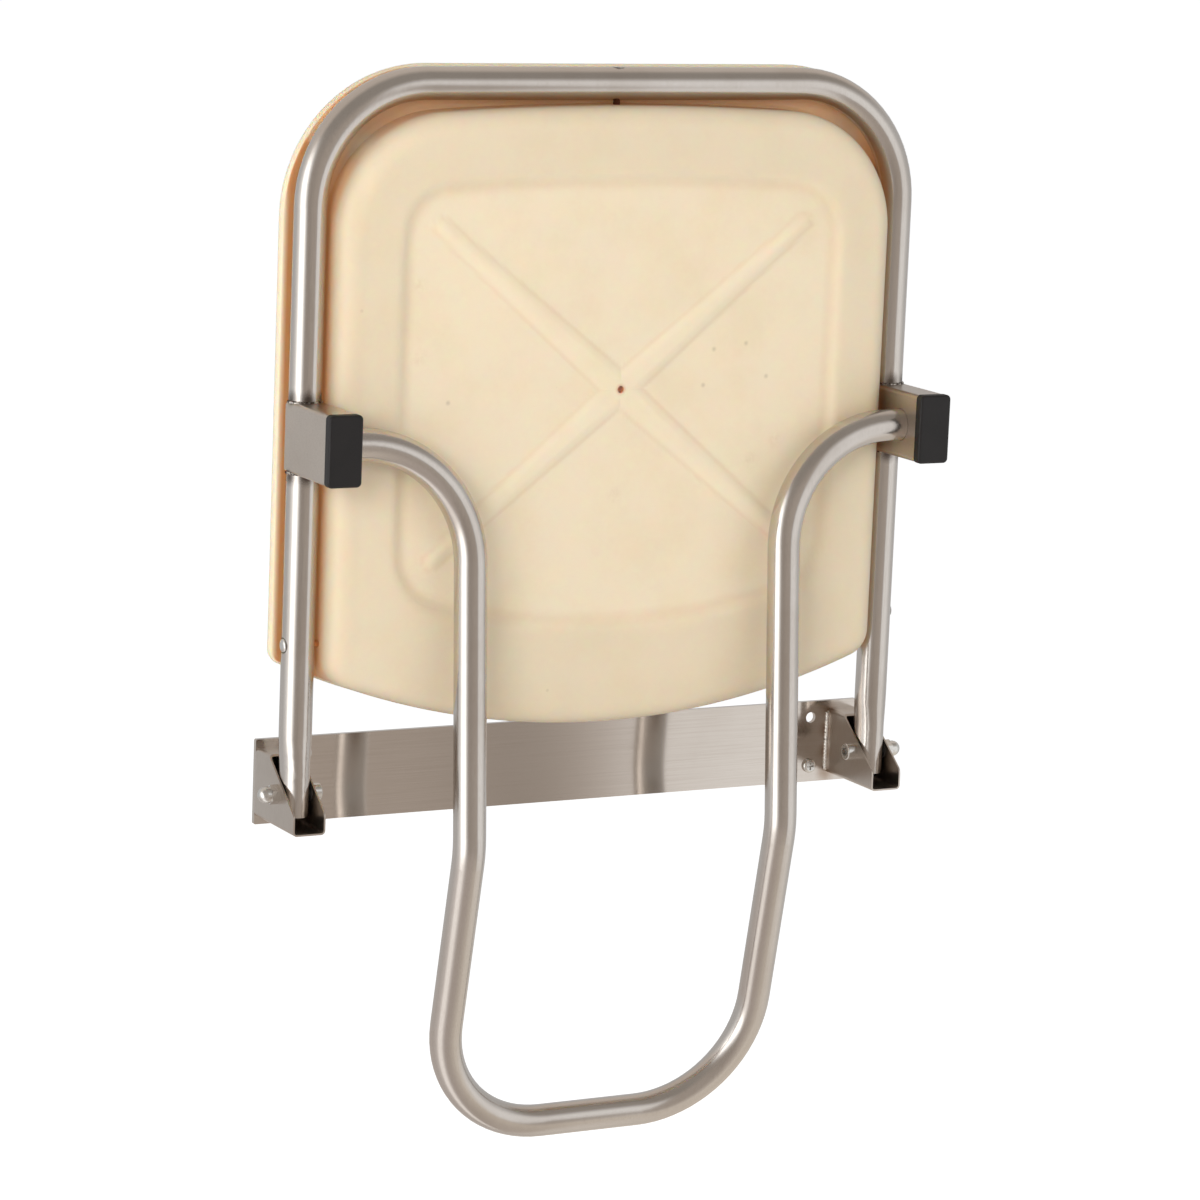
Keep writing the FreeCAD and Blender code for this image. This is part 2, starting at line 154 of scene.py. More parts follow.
class Level:
    """A number that varies over a surface: a node socket with Python's arithmetic."""

    def __init__(self, graph: Graph, socket: Socket) -> None:
        """Keeps the graph and the output that gives the number."""
        self.graph = graph
        self.socket = socket

    def _join(self, operation: str, *operands: Number) -> Level:
        """The result of a new Math node with these values, in order."""
        values = dict(enumerate(operands))
        return Level(self.graph, self.graph.out("ShaderNodeMath", {"operation": operation}, values))

    def __add__(self, other: Number) -> Level:
        """self + other"""
        return self._join("ADD", self, other)

    def __radd__(self, other: Number) -> Level:
        """other + self"""
        return self._join("ADD", other, self)

    def __sub__(self, other: Number) -> Level:
        """self - other"""
        return self._join("SUBTRACT", self, other)

    def __rsub__(self, other: Number) -> Level:
        """other - self"""
        return self._join("SUBTRACT", other, self)

    def __mul__(self, other: Number) -> Level:
        """self * other"""
        return self._join("MULTIPLY", self, other)

    def __rmul__(self, other: Number) -> Level:
        """other * self"""
        return self._join("MULTIPLY", other, self)

    def __truediv__(self, other: Number) -> Level:
        """self / other"""
        return self._join("DIVIDE", self, other)

    def __rtruediv__(self, other: Number) -> Level:
        """other / self"""
        return self._join("DIVIDE", other, self)

    def __abs__(self) -> Level:
        """abs(self)"""
        return self._join("ABSOLUTE", self)

    def power(self, exponent: Number) -> Level:
        """self to a power."""
        return self._join("POWER", self, exponent)

    def least(self, other: Number) -> Level:
        """The smaller of the two."""
        return self._join("MINIMUM", self, other)

    def most(self, other: Number) -> Level:
        """The larger of the two."""
        return self._join("MAXIMUM", self, other)

    def angle(self, other: Number) -> Level:
        """The angle whose tangent is self / other, all the way round."""
        return self._join("ARCTAN2", self, other)

    def rise(self, step: Step) -> Level:
        """A smooth step of this number.

        Args:
            step: Where it is 0 and where it is 1.

        Returns:
            The step's height.
        """
        ends = (*step, 0.0, 1.0) if step.low < step.high else (step.high, step.low, 1.0, 0.0)
        names = ("From Min", "From Max", "To Min", "To Max")
        made = self.graph.node(
            "ShaderNodeMapRange",
            {"interpolation_type": "SMOOTHSTEP"},
            {"Value": self, **dict(zip(names, ends))},
        )
        return Level(self.graph, made.outputs["Result"])


class Graph:
    """The node tree of one material or of the world."""

    def __init__(self, tree: bpy.types.NodeTree, output: str = "ShaderNodeOutputMaterial") -> None:
        """Empties the tree.

        Args:
            tree: The tree to fill.
            output: The type of its output node.
        """
        self.tree = tree
        self.output = output
        self.tree.nodes.clear()
        self._place: Socket | None = None

    def node(
        self, kind: str, settings: Settings | None = None, inputs: Inputs | None = None
    ) -> bpy.types.Node:
        """Adds any node.

        Args:
            kind: The node's type.
            settings: Its settings, which are set first. "stops" are a ramp's places and colours.
            inputs: Values or links for its sockets, by name or number.

        Returns:
            The node.
        """
        made = self.tree.nodes.new(kind)
        for name, value in (settings or {}).items():
            if name == "stops":
                elements = made.color_ramp.elements
                while len(elements) < len(value):
                    elements.new(1.0)
                for element, (position, colour) in zip(elements, value):
                    element.position = position
                    element.color = (*colour, 1.0)
            else:
                setattr(made, name, value)
        for name, value in (inputs or {}).items():
            if isinstance(value, Level):
                value = value.socket
            if isinstance(value, Socket):
                self.tree.links.new(value, made.inputs[name])
            elif isinstance(value, tuple) and made.inputs[name].type == "RGBA":
                made.inputs[name].default_value = (*value, 1.0)
            else:
                made.inputs[name].default_value = value
        return made

    def out(self, kind: str, settings: Settings, inputs: Inputs) -> Socket:
        """The first output of a new node."""
        return self.node(kind, settings, inputs).outputs[0]

    @property
    def place(self) -> Socket:
        """The object coordinates, in metres.

        Returns:
            Their socket, which the first call makes.
        """
        if self._place is None:
            self._place = self.node("ShaderNodeTexCoord").outputs["Object"]
        return self._place

    def axes(self) -> tuple[Level, Level, Level]:
        """The three object coordinates as numbers."""
        made = self.node("ShaderNodeSeparateXYZ", {}, {0: self.place})
        return tuple(Level(self, socket) for socket in made.outputs)

    def painted(self, name: str) -> Level:
        """A number that the piece's mesh carries at each point."""
        made = self.node("ShaderNodeAttribute", {"attribute_name": name})
        return Level(self, made.outputs["Fac"])

    def stretched(self, scale: Place) -> Socket:
        """The object coordinates, scaled along each axis."""
        return self.out("ShaderNodeMapping", {}, {"Vector": self.place, "Scale": scale})

    def noise(self, noise: Noise, at: Socket | None = None) -> Level:
        """A noise from 0 to 1.

        Args:
            noise: Its kind.
            at: Coordinates other than the object's own.

        Returns:
            The noise.
        """
        inputs = {
            "Vector": at or self.place,
            "Scale": noise.scale,
            "Detail": noise.detail,
            "Roughness": noise.roughness,
        }
        return Level(self, self.out("ShaderNodeTexNoise", {}, inputs))

    def spots(self, scale: float, radius: float, share: float) -> Level:
        """Scattered round spots.

        Args:
            scale: Cells per metre, each with at most one spot.
            radius: A spot's radius as a share of a cell.
            share: The share of cells that have one.

        Returns:
            1 in a spot, 0 elsewhere.
        """
        solid, certain = 0.55, 0.98
        cells = self.node("ShaderNodeTexVoronoi", {}, {"Vector": self.place, "Scale": scale})
        chance = Level(self, self.out("ShaderNodeSeparateColor", {}, {0: cells.outputs["Color"]}))
        disc = Level(self, cells.outputs["Distance"]).rise(Step(radius, radius * solid))
        return disc * chance.rise(Step(share, share * certain))

    def near(self, places: Sequence[Place], reach: float) -> Level:
        """How near a point of the surface is to the nearest of some places.

        Args:
            places: The places.
            reach: The distance at which the nearness is 0.

        Returns:
            1 at a place, falling smoothly to 0 at the reach.
        """
        away = [
            self.node("ShaderNodeVectorMath", {"operation": "DISTANCE"}, {0: self.place, 1: place})
            for place in places
        ]
        shares = [Level(self, made.outputs["Value"]).rise(Step(reach, 0.0)) for made in away]
        return reduce(Level.most, shares)

    def blend(self, factor: Number, first: Colour | Socket, second: Colour | Socket) -> Socket:
        """Mixes two colours.

        Args:
            factor: How much of the second, which is clamped to 0 to 1.
            first: The one colour.
            second: The other colour.

        Returns:
            The mixed colour.
        """
        made = self.node("ShaderNodeMix", {"data_type": "RGBA"}, {0: factor, 6: first, 7: second})
        return made.outputs[2]

    def ramp(self, value: Level, stops: Sequence[tuple[float, Colour]]) -> Socket:
        """The colour of a value, from places and their colours."""
        return self.out("ShaderNodeValToRGB", {"stops": stops}, {0: value})

    def bump(self, height: Level, depth: float) -> Socket:
        """The normal of a height whose 1 stands for a depth in metres."""
        inputs = {"Height": height, "Distance": depth, "Strength": 1.0}
        return self.out("ShaderNodeBump", {}, inputs)

    def glow(self, kind: str, colour: Colour | Socket, strength: float) -> Socket:
        """The shader of an Emission or a Background node."""
        return self.out(kind, {}, {"Color": colour, "Strength": strength})

    def seen(self) -> Level:
        """Tells the rays that see a thing from those that only light it.

        Returns:
            1 for rays from the camera, from reflections and through glass, 0 for the rest.
        """
        rays = self.node("ShaderNodeLightPath").outputs
        names = ("Is Camera Ray", "Is Glossy Ray", "Is Transmission Ray")
        return reduce(Level.most, [Level(self, rays[name]) for name in names])

    def finish(self, shader: Socket) -> None:
        """Links the shader to the output."""
        self.node(self.output, {}, {"Surface": shader})


def start_material(name: str) -> tuple[Material, Graph]:
    """Makes a material.

    Args:
        name: Its name.

    Returns:
        The material, and the empty graph of its nodes.
    """
    material = bpy.data.materials.new(name)
    material.use_nodes = True
    return material, Graph(material.node_tree)


# ---------------------------------------------------------------- finishes


@dataclass(frozen=True)
class Finish:
    """A finish of some pieces. Its kinds say what feeds the shader."""

    name: str

    def inputs(self, graph: Graph) -> Inputs:
        """The values and links of the shader's sockets."""
        raise NotImplementedError

    def make(self) -> Material:
        """Builds the material.

        Returns:
            The material.
        """
        material, graph = start_material(self.name)
        graph.finish(graph.out("ShaderNodeBsdfPrincipled", {}, self.inputs(graph)))
        return material


@dataclass(frozen=True)
class SatinSteel(Finish):
    """Satin stainless steel, with fine grain, a little grime and heat tint near its welds."""

    base: Colour = paint(202, 196, 190)
    shade: Colour = paint(182, 173, 164)
    tint: Colour = paint(128, 88, 52)
    roughness: float = 0.2
    brushed: float = 0.0
    brush_turn: float = 0.25
    stretch: Place = (2600.0, 2600.0, 90.0)
    grain: Noise = Noise(1.0, 3.0, 0.6)
    grain_depth: float = 0.0000015
    grain_dulls: float = 0.06
    streaky: Step = Step(0.35, 0.75)
    streaks: float = 0.3
    cloud: Noise = Noise(16.0, 4.0, 0.55)
    cloud_dulls: float = 0.05
    cloudy: Step = Step(0.4, 0.8)
    clouds: float = 0.5
    welds: tuple[Place, ...] = ()
    weld_reach: float = 0.02
    weld_share: float = 0.85
    weld_dulls: float = 0.12
    patches: Noise = Noise(160.0, 3.0)
    patch_least: float = 0.55
    patch_rise: float = 0.9
    # A ring of painted shadow round each screw, where its head stands off the round tube.
    screws: tuple[Place, ...] = ()
    screw_shadow_reach: float = 0.0053
    screw_shadow_edge: Step = Step(0.0, 0.12)
    screw_shadow_share: float = 0.85

    def inputs(self, graph: Graph) -> Inputs:
        """Grain and clouds all over, the tint round the welds and painted shadow round the screws.

        Args:
            graph: The graph to build in.

        Returns:
            The values and links of the shader's sockets.
        """
        grain = graph.noise(self.grain, graph.stretched(self.stretch))
        cloud = graph.noise(self.cloud)
        colour = graph.blend(cloud.rise(self.cloudy) * self.clouds, self.base, self.shade)
        colour = graph.blend(grain.rise(self.streaky) * self.streaks, colour, self.shade)
        roughness = self.roughness + (grain - 0.5) * self.grain_dulls
        roughness = roughness + (cloud - 0.5) * self.cloud_dulls
        if self.welds:
            patchy = self.patch_least + graph.noise(self.patches) * self.patch_rise
            heat = graph.near(self.welds, self.weld_reach) * patchy
            colour = graph.blend(heat.least(1.0) * self.weld_share, colour, self.tint)
            roughness = roughness + heat * self.weld_dulls
        # Painted shadow: a dark ring round each screw, under the edge of its head.
        if self.screws:
            ring = graph.near(self.screws, self.screw_shadow_reach).rise(self.screw_shadow_edge)
            colour = graph.blend(ring * self.screw_shadow_share, colour, self.tint)
        return {
            "Base Color": colour,
            "Metallic": 1.0,
            "Roughness": roughness,
            "Anisotropic": self.brushed,
            "Anisotropic Rotation": self.brush_turn,
            "Normal": graph.bump(grain, self.grain_depth),
        }


@dataclass(frozen=True)
class BrightFastener(Finish):
    """Bright plated steel of the screws and nuts, with small dull marks."""

    base: Colour = paint(212, 210, 206)
    shade: Colour = paint(132, 124, 116)
    roughness: float = 0.15
    marks: Noise = Noise(700.0, 4.0, 0.65)
    marked: Step = Step(0.52, 0.78)
    mark_share: float = 0.6
    marks_dull: float = 0.14
    mark_depth: float = 0.00003

    def inputs(self, graph: Graph) -> Inputs:
        """Plating with dull marks.

        Args:
            graph: The graph to build in.

        Returns:
            The values and links of the shader's sockets.
        """
        marks = graph.noise(self.marks)
        marked = marks.rise(self.marked) * self.mark_share
        return {
            "Base Color": graph.blend(marked, self.base, self.shade),
            "Metallic": 1.0,
            "Roughness": self.roughness + marks * self.marks_dull,
            "Normal": graph.bump(marks, self.mark_depth),
        }


@dataclass(frozen=True)
class SeatScrew(BrightFastener):
    """The seat's screws: painted groove shade on the shank, and painted shadow at a side head's
    rim.
    """

    # Painted shade and reflection: the shanks take the look of the shaded groove they stand in.
    front_shank_shade: Colour = paint(96, 58, 40)
    side_shank_reflection: Colour = paint(214, 158, 108)
    # Painted shadow under the edge of a side screw's head.
    rim: Colour = paint(58, 52, 48)
    inside_tube: Step = Step(0.1820, 0.1812)
    below_tube: Step = Step(0.3950, 0.3942)
    at_side: Step = Step(0.1, 0.15)
    rim_foot: Step = Step(0.1970, 0.1976)
    rim_top: Step = Step(0.1992, 0.1987)
    shank_dull: float = 0.4

    def inputs(self, graph: Graph) -> Inputs:
        """The plating, with the shank's painted shade and the rim's painted shadow laid over it.

        Args:
            graph: The graph to build in.

        Returns:
            The values and links of the shader's sockets.
        """
        plain = super().inputs(graph)
        across, _, height = graph.axes()
        beside = abs(across)
        deep = beside.rise(self.inside_tube) * height.rise(self.below_tube)
        painted_shank = graph.blend(beside.rise(self.at_side), self.front_shank_shade, self.side_shank_reflection)
        colour = graph.blend(deep, plain["Base Color"], painted_shank)
        # Painted shadow under the edge of a side head.
        rim = beside.rise(self.rim_foot) * beside.rise(self.rim_top)
        return {
            **plain,
            "Base Color": graph.blend(rim, colour, self.rim),
            "Roughness": plain["Roughness"] + deep * self.shank_dull,
        }


@dataclass(frozen=True)
class WeldedSteel(Finish):
    """A weld bead: bright crests with dark scale between them."""

    crest: Colour = paint(214, 208, 200)
    scale: Colour = paint(92, 78, 66)
    flakes: Noise = Noise(420.0, 4.0, 0.6)
    scaled: float = 0.42
    scaled_width: float = 0.24
    roughness: float = 0.2
    flakes_dull: float = 0.3
    flake_depth: float = 0.0001

    def inputs(self, graph: Graph) -> Inputs:
        """Scale in patches over the bright bead.

        Args:
            graph: The graph to build in.

        Returns:
            The values and links of the shader's sockets.
        """
        flakes = graph.noise(self.flakes)
        dark = flakes.rise(Step(self.scaled, self.scaled + self.scaled_width))
        return {
            "Base Color": graph.blend(dark, self.crest, self.scale),
            "Metallic": 1.0,
            "Roughness": self.roughness + flakes * self.flakes_dull,
            "Normal": graph.bump(flakes, self.flake_depth),
        }


@dataclass(frozen=True)
class MouldedCream(Finish):
    """Cream blow moulded plastic: mottled, lightly specked, painted warm shade and glow by the
    tube.
    """

    base: Colour = paint(239, 224, 196)
    mottle: Colour = paint(233, 216, 183)
    # Darker cream on the rim and towards the bottom, and painted shade on the left flank.
    worn: Colour = paint(216, 199, 170)
    # Painted warm shade: the groove by the tube, the creases and the pan's edges.
    warm_shade: Colour = paint(198, 138, 82)
    # A painted glow, given as emission, for light bounced deep into the gap by the tube.
    glow: Colour = (0.13, 0.052, 0.017)
    speck: Colour = paint(170, 152, 118)
    # Orange-brown round and inside the vent hole.
    vent_orange: Colour = paint(205, 88, 34)
    stain_and_shadow: Colour = paint(206, 178, 136)
    cloud: Noise = Noise(24.0, 5.0, 0.6)
    mottled: Step = Step(0.4, 0.72)
    mottle_share: float = 0.6
    grain: Noise = Noise(900.0, 3.0, 0.6)
    grain_share: float = 0.4
    skin_depth: float = 0.00012
    roughness: float = 0.4
    grain_dulls: float = 0.1
    dust: tuple[float, float, float] = (48.0, 0.07, 0.08)
    dust_share: float = 0.6
    specks: tuple[Place, ...] = ()
    speck_reach: float = 0.0022
    speck_share: float = 0.7
    dot_share: float = 0.6
    # Stains, with some points a painted shadow.
    stains_and_shadows: tuple[Place, ...] = ()
    stain_shadow_reach: float = 0.007
    stain_shadow_patches: Noise = Noise(300.0, 4.0, 0.6)
    stain_shadow_patchy: Step = Step(0.3, 0.7)
    stain_shadow_share: float = 0.25
    vent: Place = (0.0, 0.0, 0.0)
    vent_reach: float = 0.0046
    milky: float = 0.7
    milk_radius: Place = (1.0, 0.45, 0.2)
    milk_scale: float = 0.006
    sheen: float = 0.4

    def inputs(self, graph: Graph) -> Inputs:
        """Mottle, dots, stains and a painted shadow, then darker cream, painted warm shade and the
        orange vent.

        Args:
            graph: The graph to build in.

        Returns:
            The values and links of the shader's sockets.
        """
        cloud, grain = graph.noise(self.cloud), graph.noise(self.grain)
        dots = graph.spots(*self.dust) * self.dust_share
        dots = dots.most(graph.near(self.specks, self.speck_reach) * self.speck_share)
        # Stains, and a painted shadow by the right leg's bend.
        patchy = graph.noise(self.stain_shadow_patches).rise(self.stain_shadow_patchy)
        stained_and_shadowed = graph.near(self.stains_and_shadows, self.stain_shadow_reach) * patchy
        mottled = cloud.rise(self.mottled) * self.mottle_share
        colour = graph.blend(mottled, self.base, self.mottle)
        for share, over in (
            (dots * self.dot_share, self.speck),
            (stained_and_shadowed * self.stain_shadow_share, self.stain_and_shadow),
            (graph.painted("worn"), self.worn),
            (graph.painted("groove"), self.warm_shade),
            (graph.near((self.vent,), self.vent_reach), self.vent_orange),
        ):
            colour = graph.blend(share, colour, over)
        return {
            "Base Color": colour,
            "Roughness": self.roughness + grain * self.grain_dulls,
            "Subsurface Weight": self.milky,
            "Subsurface Radius": self.milk_radius,
            "Subsurface Scale": self.milk_scale,
            "Specular IOR Level": self.sheen,
            # Painted glow deep in the gap between the pan and the tube.
            "Emission Color": graph.blend(graph.painted("dark"), BLACK, self.glow),
            "Emission Strength": 1.0,
            "Normal": graph.bump(grain * self.grain_share + cloud, self.skin_depth),
        }


@dataclass(frozen=True)
class DullPlastic(Finish):
    """A plain moulded plastic with a fine matt skin: the end caps and the washers."""

    base: Colour
    shade: Colour
    roughness: float
    skin: Noise = Noise(1400.0, 3.0, 0.6)
    skin_dulls: float = 0.12
    skin_depth: float = 0.00005
    cloud: Noise = Noise(90.0, 3.0)
    cloudy: Step = Step(0.35, 0.7)

    def inputs(self, graph: Graph) -> Inputs:
        """A matt skin with faint clouds.

        Args:
            graph: The graph to build in.

        Returns:
            The values and links of the shader's sockets.
        """
        skin = graph.noise(self.skin)
        cloudy = graph.noise(self.cloud).rise(self.cloudy)
        return {
            "Base Color": graph.blend(cloudy, self.base, self.shade),
            "Roughness": self.roughness + skin * self.skin_dulls,
            "Normal": graph.bump(skin, self.skin_depth),
        }


# ---------------------------------------------------------------- mesh helpers


class Form:
    """One new piece: a bmesh that operators shape, and the object it becomes."""

    def __init__(self, name: str) -> None:
        """Starts an empty mesh for the piece of this name."""
        self.name = name
        self.bm = bmesh.new()

    def ring(self, places: Sequence[Vector]) -> Verts:
        """A closed ring of points.

        Args:
            places: Where its points go.

        Returns:
            Its vertices, in order.
        """
        made = bmesh.ops.create_circle(self.bm, segments=len(places), radius=1.0)
        verts = sorted(made["verts"], key=lambda vert: math.atan2(vert.co.y, vert.co.x))
        for vert, place in zip(verts, places):
            vert.co = place
        return verts

    def grow(self, ring: Verts, places: Sequence[Vector]) -> Verts:
        """Extrudes a ring and moves the new one.

        Args:
            ring: The open ring to extrude.
            places: Where the new ring's points go.

        Returns:
            The new ring's vertices, in order.
        """
        edges = [self.bm.edges.get((a, b)) for a, b in zip(ring, [*ring[1:], ring[0]])]
        made = bmesh.ops.extrude_edge_only(self.bm, edges=edges)
        fresh = {item for item in made["geom"] if isinstance(item, bmesh.types.BMVert)}
        grown = []
        for vert, place in zip(ring, places):
            beside = (edge.other_vert(vert) for edge in vert.link_edges)
            above = next(other for other in beside if other in fresh)
            above.co = place
            grown.append(above)
        return grown

    def close(self, ring: Verts) -> None:
        """Fills a ring with triangles round its middle."""
        face = bmesh.ops.contextual_create(self.bm, geom=ring)["faces"]
        bmesh.ops.poke(self.bm, faces=face)

    def loft(self, rings: Iterable[Sequence[Vector]]) -> None:
        """Skins a run of rings and closes both its ends.

        Args:
            rings: The rings' points, one ring after the other.
        """
        run = iter(rings)
        first = last = self.ring(next(run))
        for places in run:
            last = self.grow(last, places)
        self.close(first)
        self.close(last)

    def paint(self, name: str, amount: Callable[[Vector], float]) -> None:
        """Gives the mesh a number at each point, for its finish to read.

        Args:
            name: The number's name.
            amount: The number at a place.
        """
        layer = self.bm.verts.layers.float.new(name)
        for vert in self.bm.verts:
            vert[layer] = amount(vert.co)

    def stand(self, material: Material) -> bpy.types.Object:
        """Turns the mesh into an object with a finish.

        Args:
            material: The finish.

        Returns:
            The object.
        """
        mesh = bpy.data.meshes.new(self.name)
        self.bm.to_mesh(mesh)
        self.bm.free()
        mesh.materials.append(material)
        made = bpy.data.objects.new(self.name, mesh)
        bpy.context.scene.collection.objects.link(made)
        return made

    def become(self, material: Material, body: Body, sharp: float) -> bpy.types.Object:
        """Turns the mesh into a piece that rides on a body.

        Args:
            material: Its finish.
            body: The body it moves with.
            sharp: The angle in degrees past which an edge stays sharp.

        Returns:
            The piece.
        """
        bmesh.ops.recalc_face_normals(self.bm, faces=self.bm.faces)
        piece = self.stand(material)
        piece.data.shade_smooth()
        piece.data.set_sharp_from_angle(angle=math.radians(sharp))
        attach(piece, body.value)
        log.info("%s: %d faces", self.name, len(piece.data.polygons))
        return piece


def dress(nodes: Nodes, material: Material, *names: str) -> None:
    """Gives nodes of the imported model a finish.

    Args:
        nodes: The nodes by name.
        material: The finish.
        names: The nodes that get it.
    """
    for name in names:
        mesh = nodes[name].data
        mesh.materials.clear()
        mesh.materials.append(material)
        log.info("%s: dressed as %s", name, material.name)


@dataclass
class WeldBead:
    """A weld bead: a low rippled ridge along a short path."""

    name: str
    path: Sequence[Vector]
    body: Body
    slot: Slot
    radius: float
    ripple: float = 0.28
    pitch: float = 0.0022
    wander: float = 0.4
    wander_rate: float = 900.0
    taper: float = 0.0012
    blunt: float = 0.0002
    thinnest: float = 0.04
    points: int = 14
    rings_per_ripple: int = 6
    rounding: float = 1e-9
    sharp: float = 80.0

    def ring(self, centre: Vector, ahead: Vector, along: float, whole: float) -> list[Vector]:
        """One ring of the bead's skin.

        Args:
            centre: Its centre.
            ahead: The way the bead runs there.
            along: How far along the bead it is.
            whole: The bead's length.

        Returns:
            The ring's points.
        """
        sway = self.wander * math.sin(along * self.wander_rate)
        wave = abs(math.sin(math.pi * along / self.pitch + sway))
        near_end = (min(along, whole - along) + self.blunt) / self.taper
        radius = self.radius * (1 - self.ripple * (1 - wave))
        radius *= math.sqrt(max(self.thinnest, min(1.0, near_end)))
        turn = ahead.to_track_quat("Z", "X").to_matrix()
        angles = spread(0.0, math.tau, self.points)
        return [
            centre + turn @ Vector((math.cos(angle), math.sin(angle), 0.0)) * radius
            for angle in angles
        ]

    def build(self, material: Material) -> None:
        """Skins the bead along its path.

        Args:
            material: Its finish.
        """
        ends = [0.0]
        for before, after in zip(self.path, self.path[1:]):
            ends.append(ends[-1] + (after - before).length)
        whole = ends[-1]
        rings = []
        steps = int(whole / self.pitch * self.rings_per_ripple)
        for step in range(steps + 1):
            along = whole * step / steps
            run = max(i for i, end in enumerate(ends[:-1]) if end <= along + self.rounding)
            start, stop = self.path[run], self.path[run + 1]
            share = (along - ends[run]) / (ends[run + 1] - ends[run])
            ahead = (stop - start).normalized()
            rings.append(self.ring(start.lerp(stop, share), ahead, along, whole))
        form = Form(self.name)
        form.loft(rings)
        form.become(material, self.body, self.sharp)


# ---------------------------------------------------------------- the sub-assemblies


@dataclass
class WallMount:
    """The wall plate with its two hinge brackets, pivots and wall screws."""

    nodes: Nodes
    ear: float = 0.180
    plate_front: float = -0.003
    hot_spots: tuple[float, ...] = (0.020, 0.007, -0.007, -0.020)
    weld_reach: float = 0.0185
    weld_inset: float = 0.0002
    weld_radius: float = 0.0018
    weld_ripple: float = 0.18

    def weld_places(self) -> tuple[Place, ...]:
        """The points round which the steel is tinted by the welds' heat."""
        return tuple(
            (side * self.ear, self.plate_front, height)
            for side in SIDES.values()
            for height in self.hot_spots
        )

    def dress(self) -> None:
        """Gives the plate, the brackets and the fasteners their finishes."""
        plate = SatinSteel(
            "brushed_plate",
            base=paint(206, 198, 190),
            shade=paint(186, 176, 166),
            tint=paint(146, 116, 88),
            roughness=0.12,
            streaks=0.34,
            clouds=0.3,
            stretch=(16.0, 600.0, 1500.0),
            grain_depth=0.000001,
            brushed=0.8,
            welds=self.weld_places(),
            weld_reach=0.009,
            weld_share=0.6,
        ).make()
        bracket = SatinSteel(
            "bracket_steel",
            base=paint(196, 187, 178),
            shade=paint(170, 158, 147),
            tint=paint(140, 108, 80),
            roughness=0.3,
            stretch=(2200.0, 1800.0, 160.0),
            welds=self.weld_places(),
            weld_reach=0.008,
            weld_share=0.6,
        ).make()
        fastener = BrightFastener("bright_pivot_fastener").make()
        washer = DullPlastic("washer_dark", paint(56, 53, 50), paint(42, 40, 38), 0.45).make()
        dress(self.nodes, plate, "wall_plate")
        for side in SIDES:
            dress(self.nodes, bracket, f"{side}_hinge_bracket")
            screws = (f"{side}_{part}" for part in ("pivot_screw", "pivot_dome_nut", "wall_screw"))
            dress(self.nodes, fastener, *screws)
            dress(self.nodes, washer, f"{side}_pivot_washers")

    def build(self) -> None:
        """Lays the weld bead between each inner ear and the plate."""
        weld = WeldedSteel("bracket_weld_steel", crest=paint(228, 224, 218), scaled=0.5).make()
        for name, side in SIDES.items():
            x = side * (self.ear - self.weld_inset)
            heights = (self.weld_reach, -self.weld_reach)
            path = [Vector((x, self.plate_front, height)) for height in heights]
            bead = f"{name}_bracket_weld"
            WeldBead(
                bead, path, Body.WALL, Slot.PLATE, self.weld_radius, self.weld_ripple
            ).build(weld)


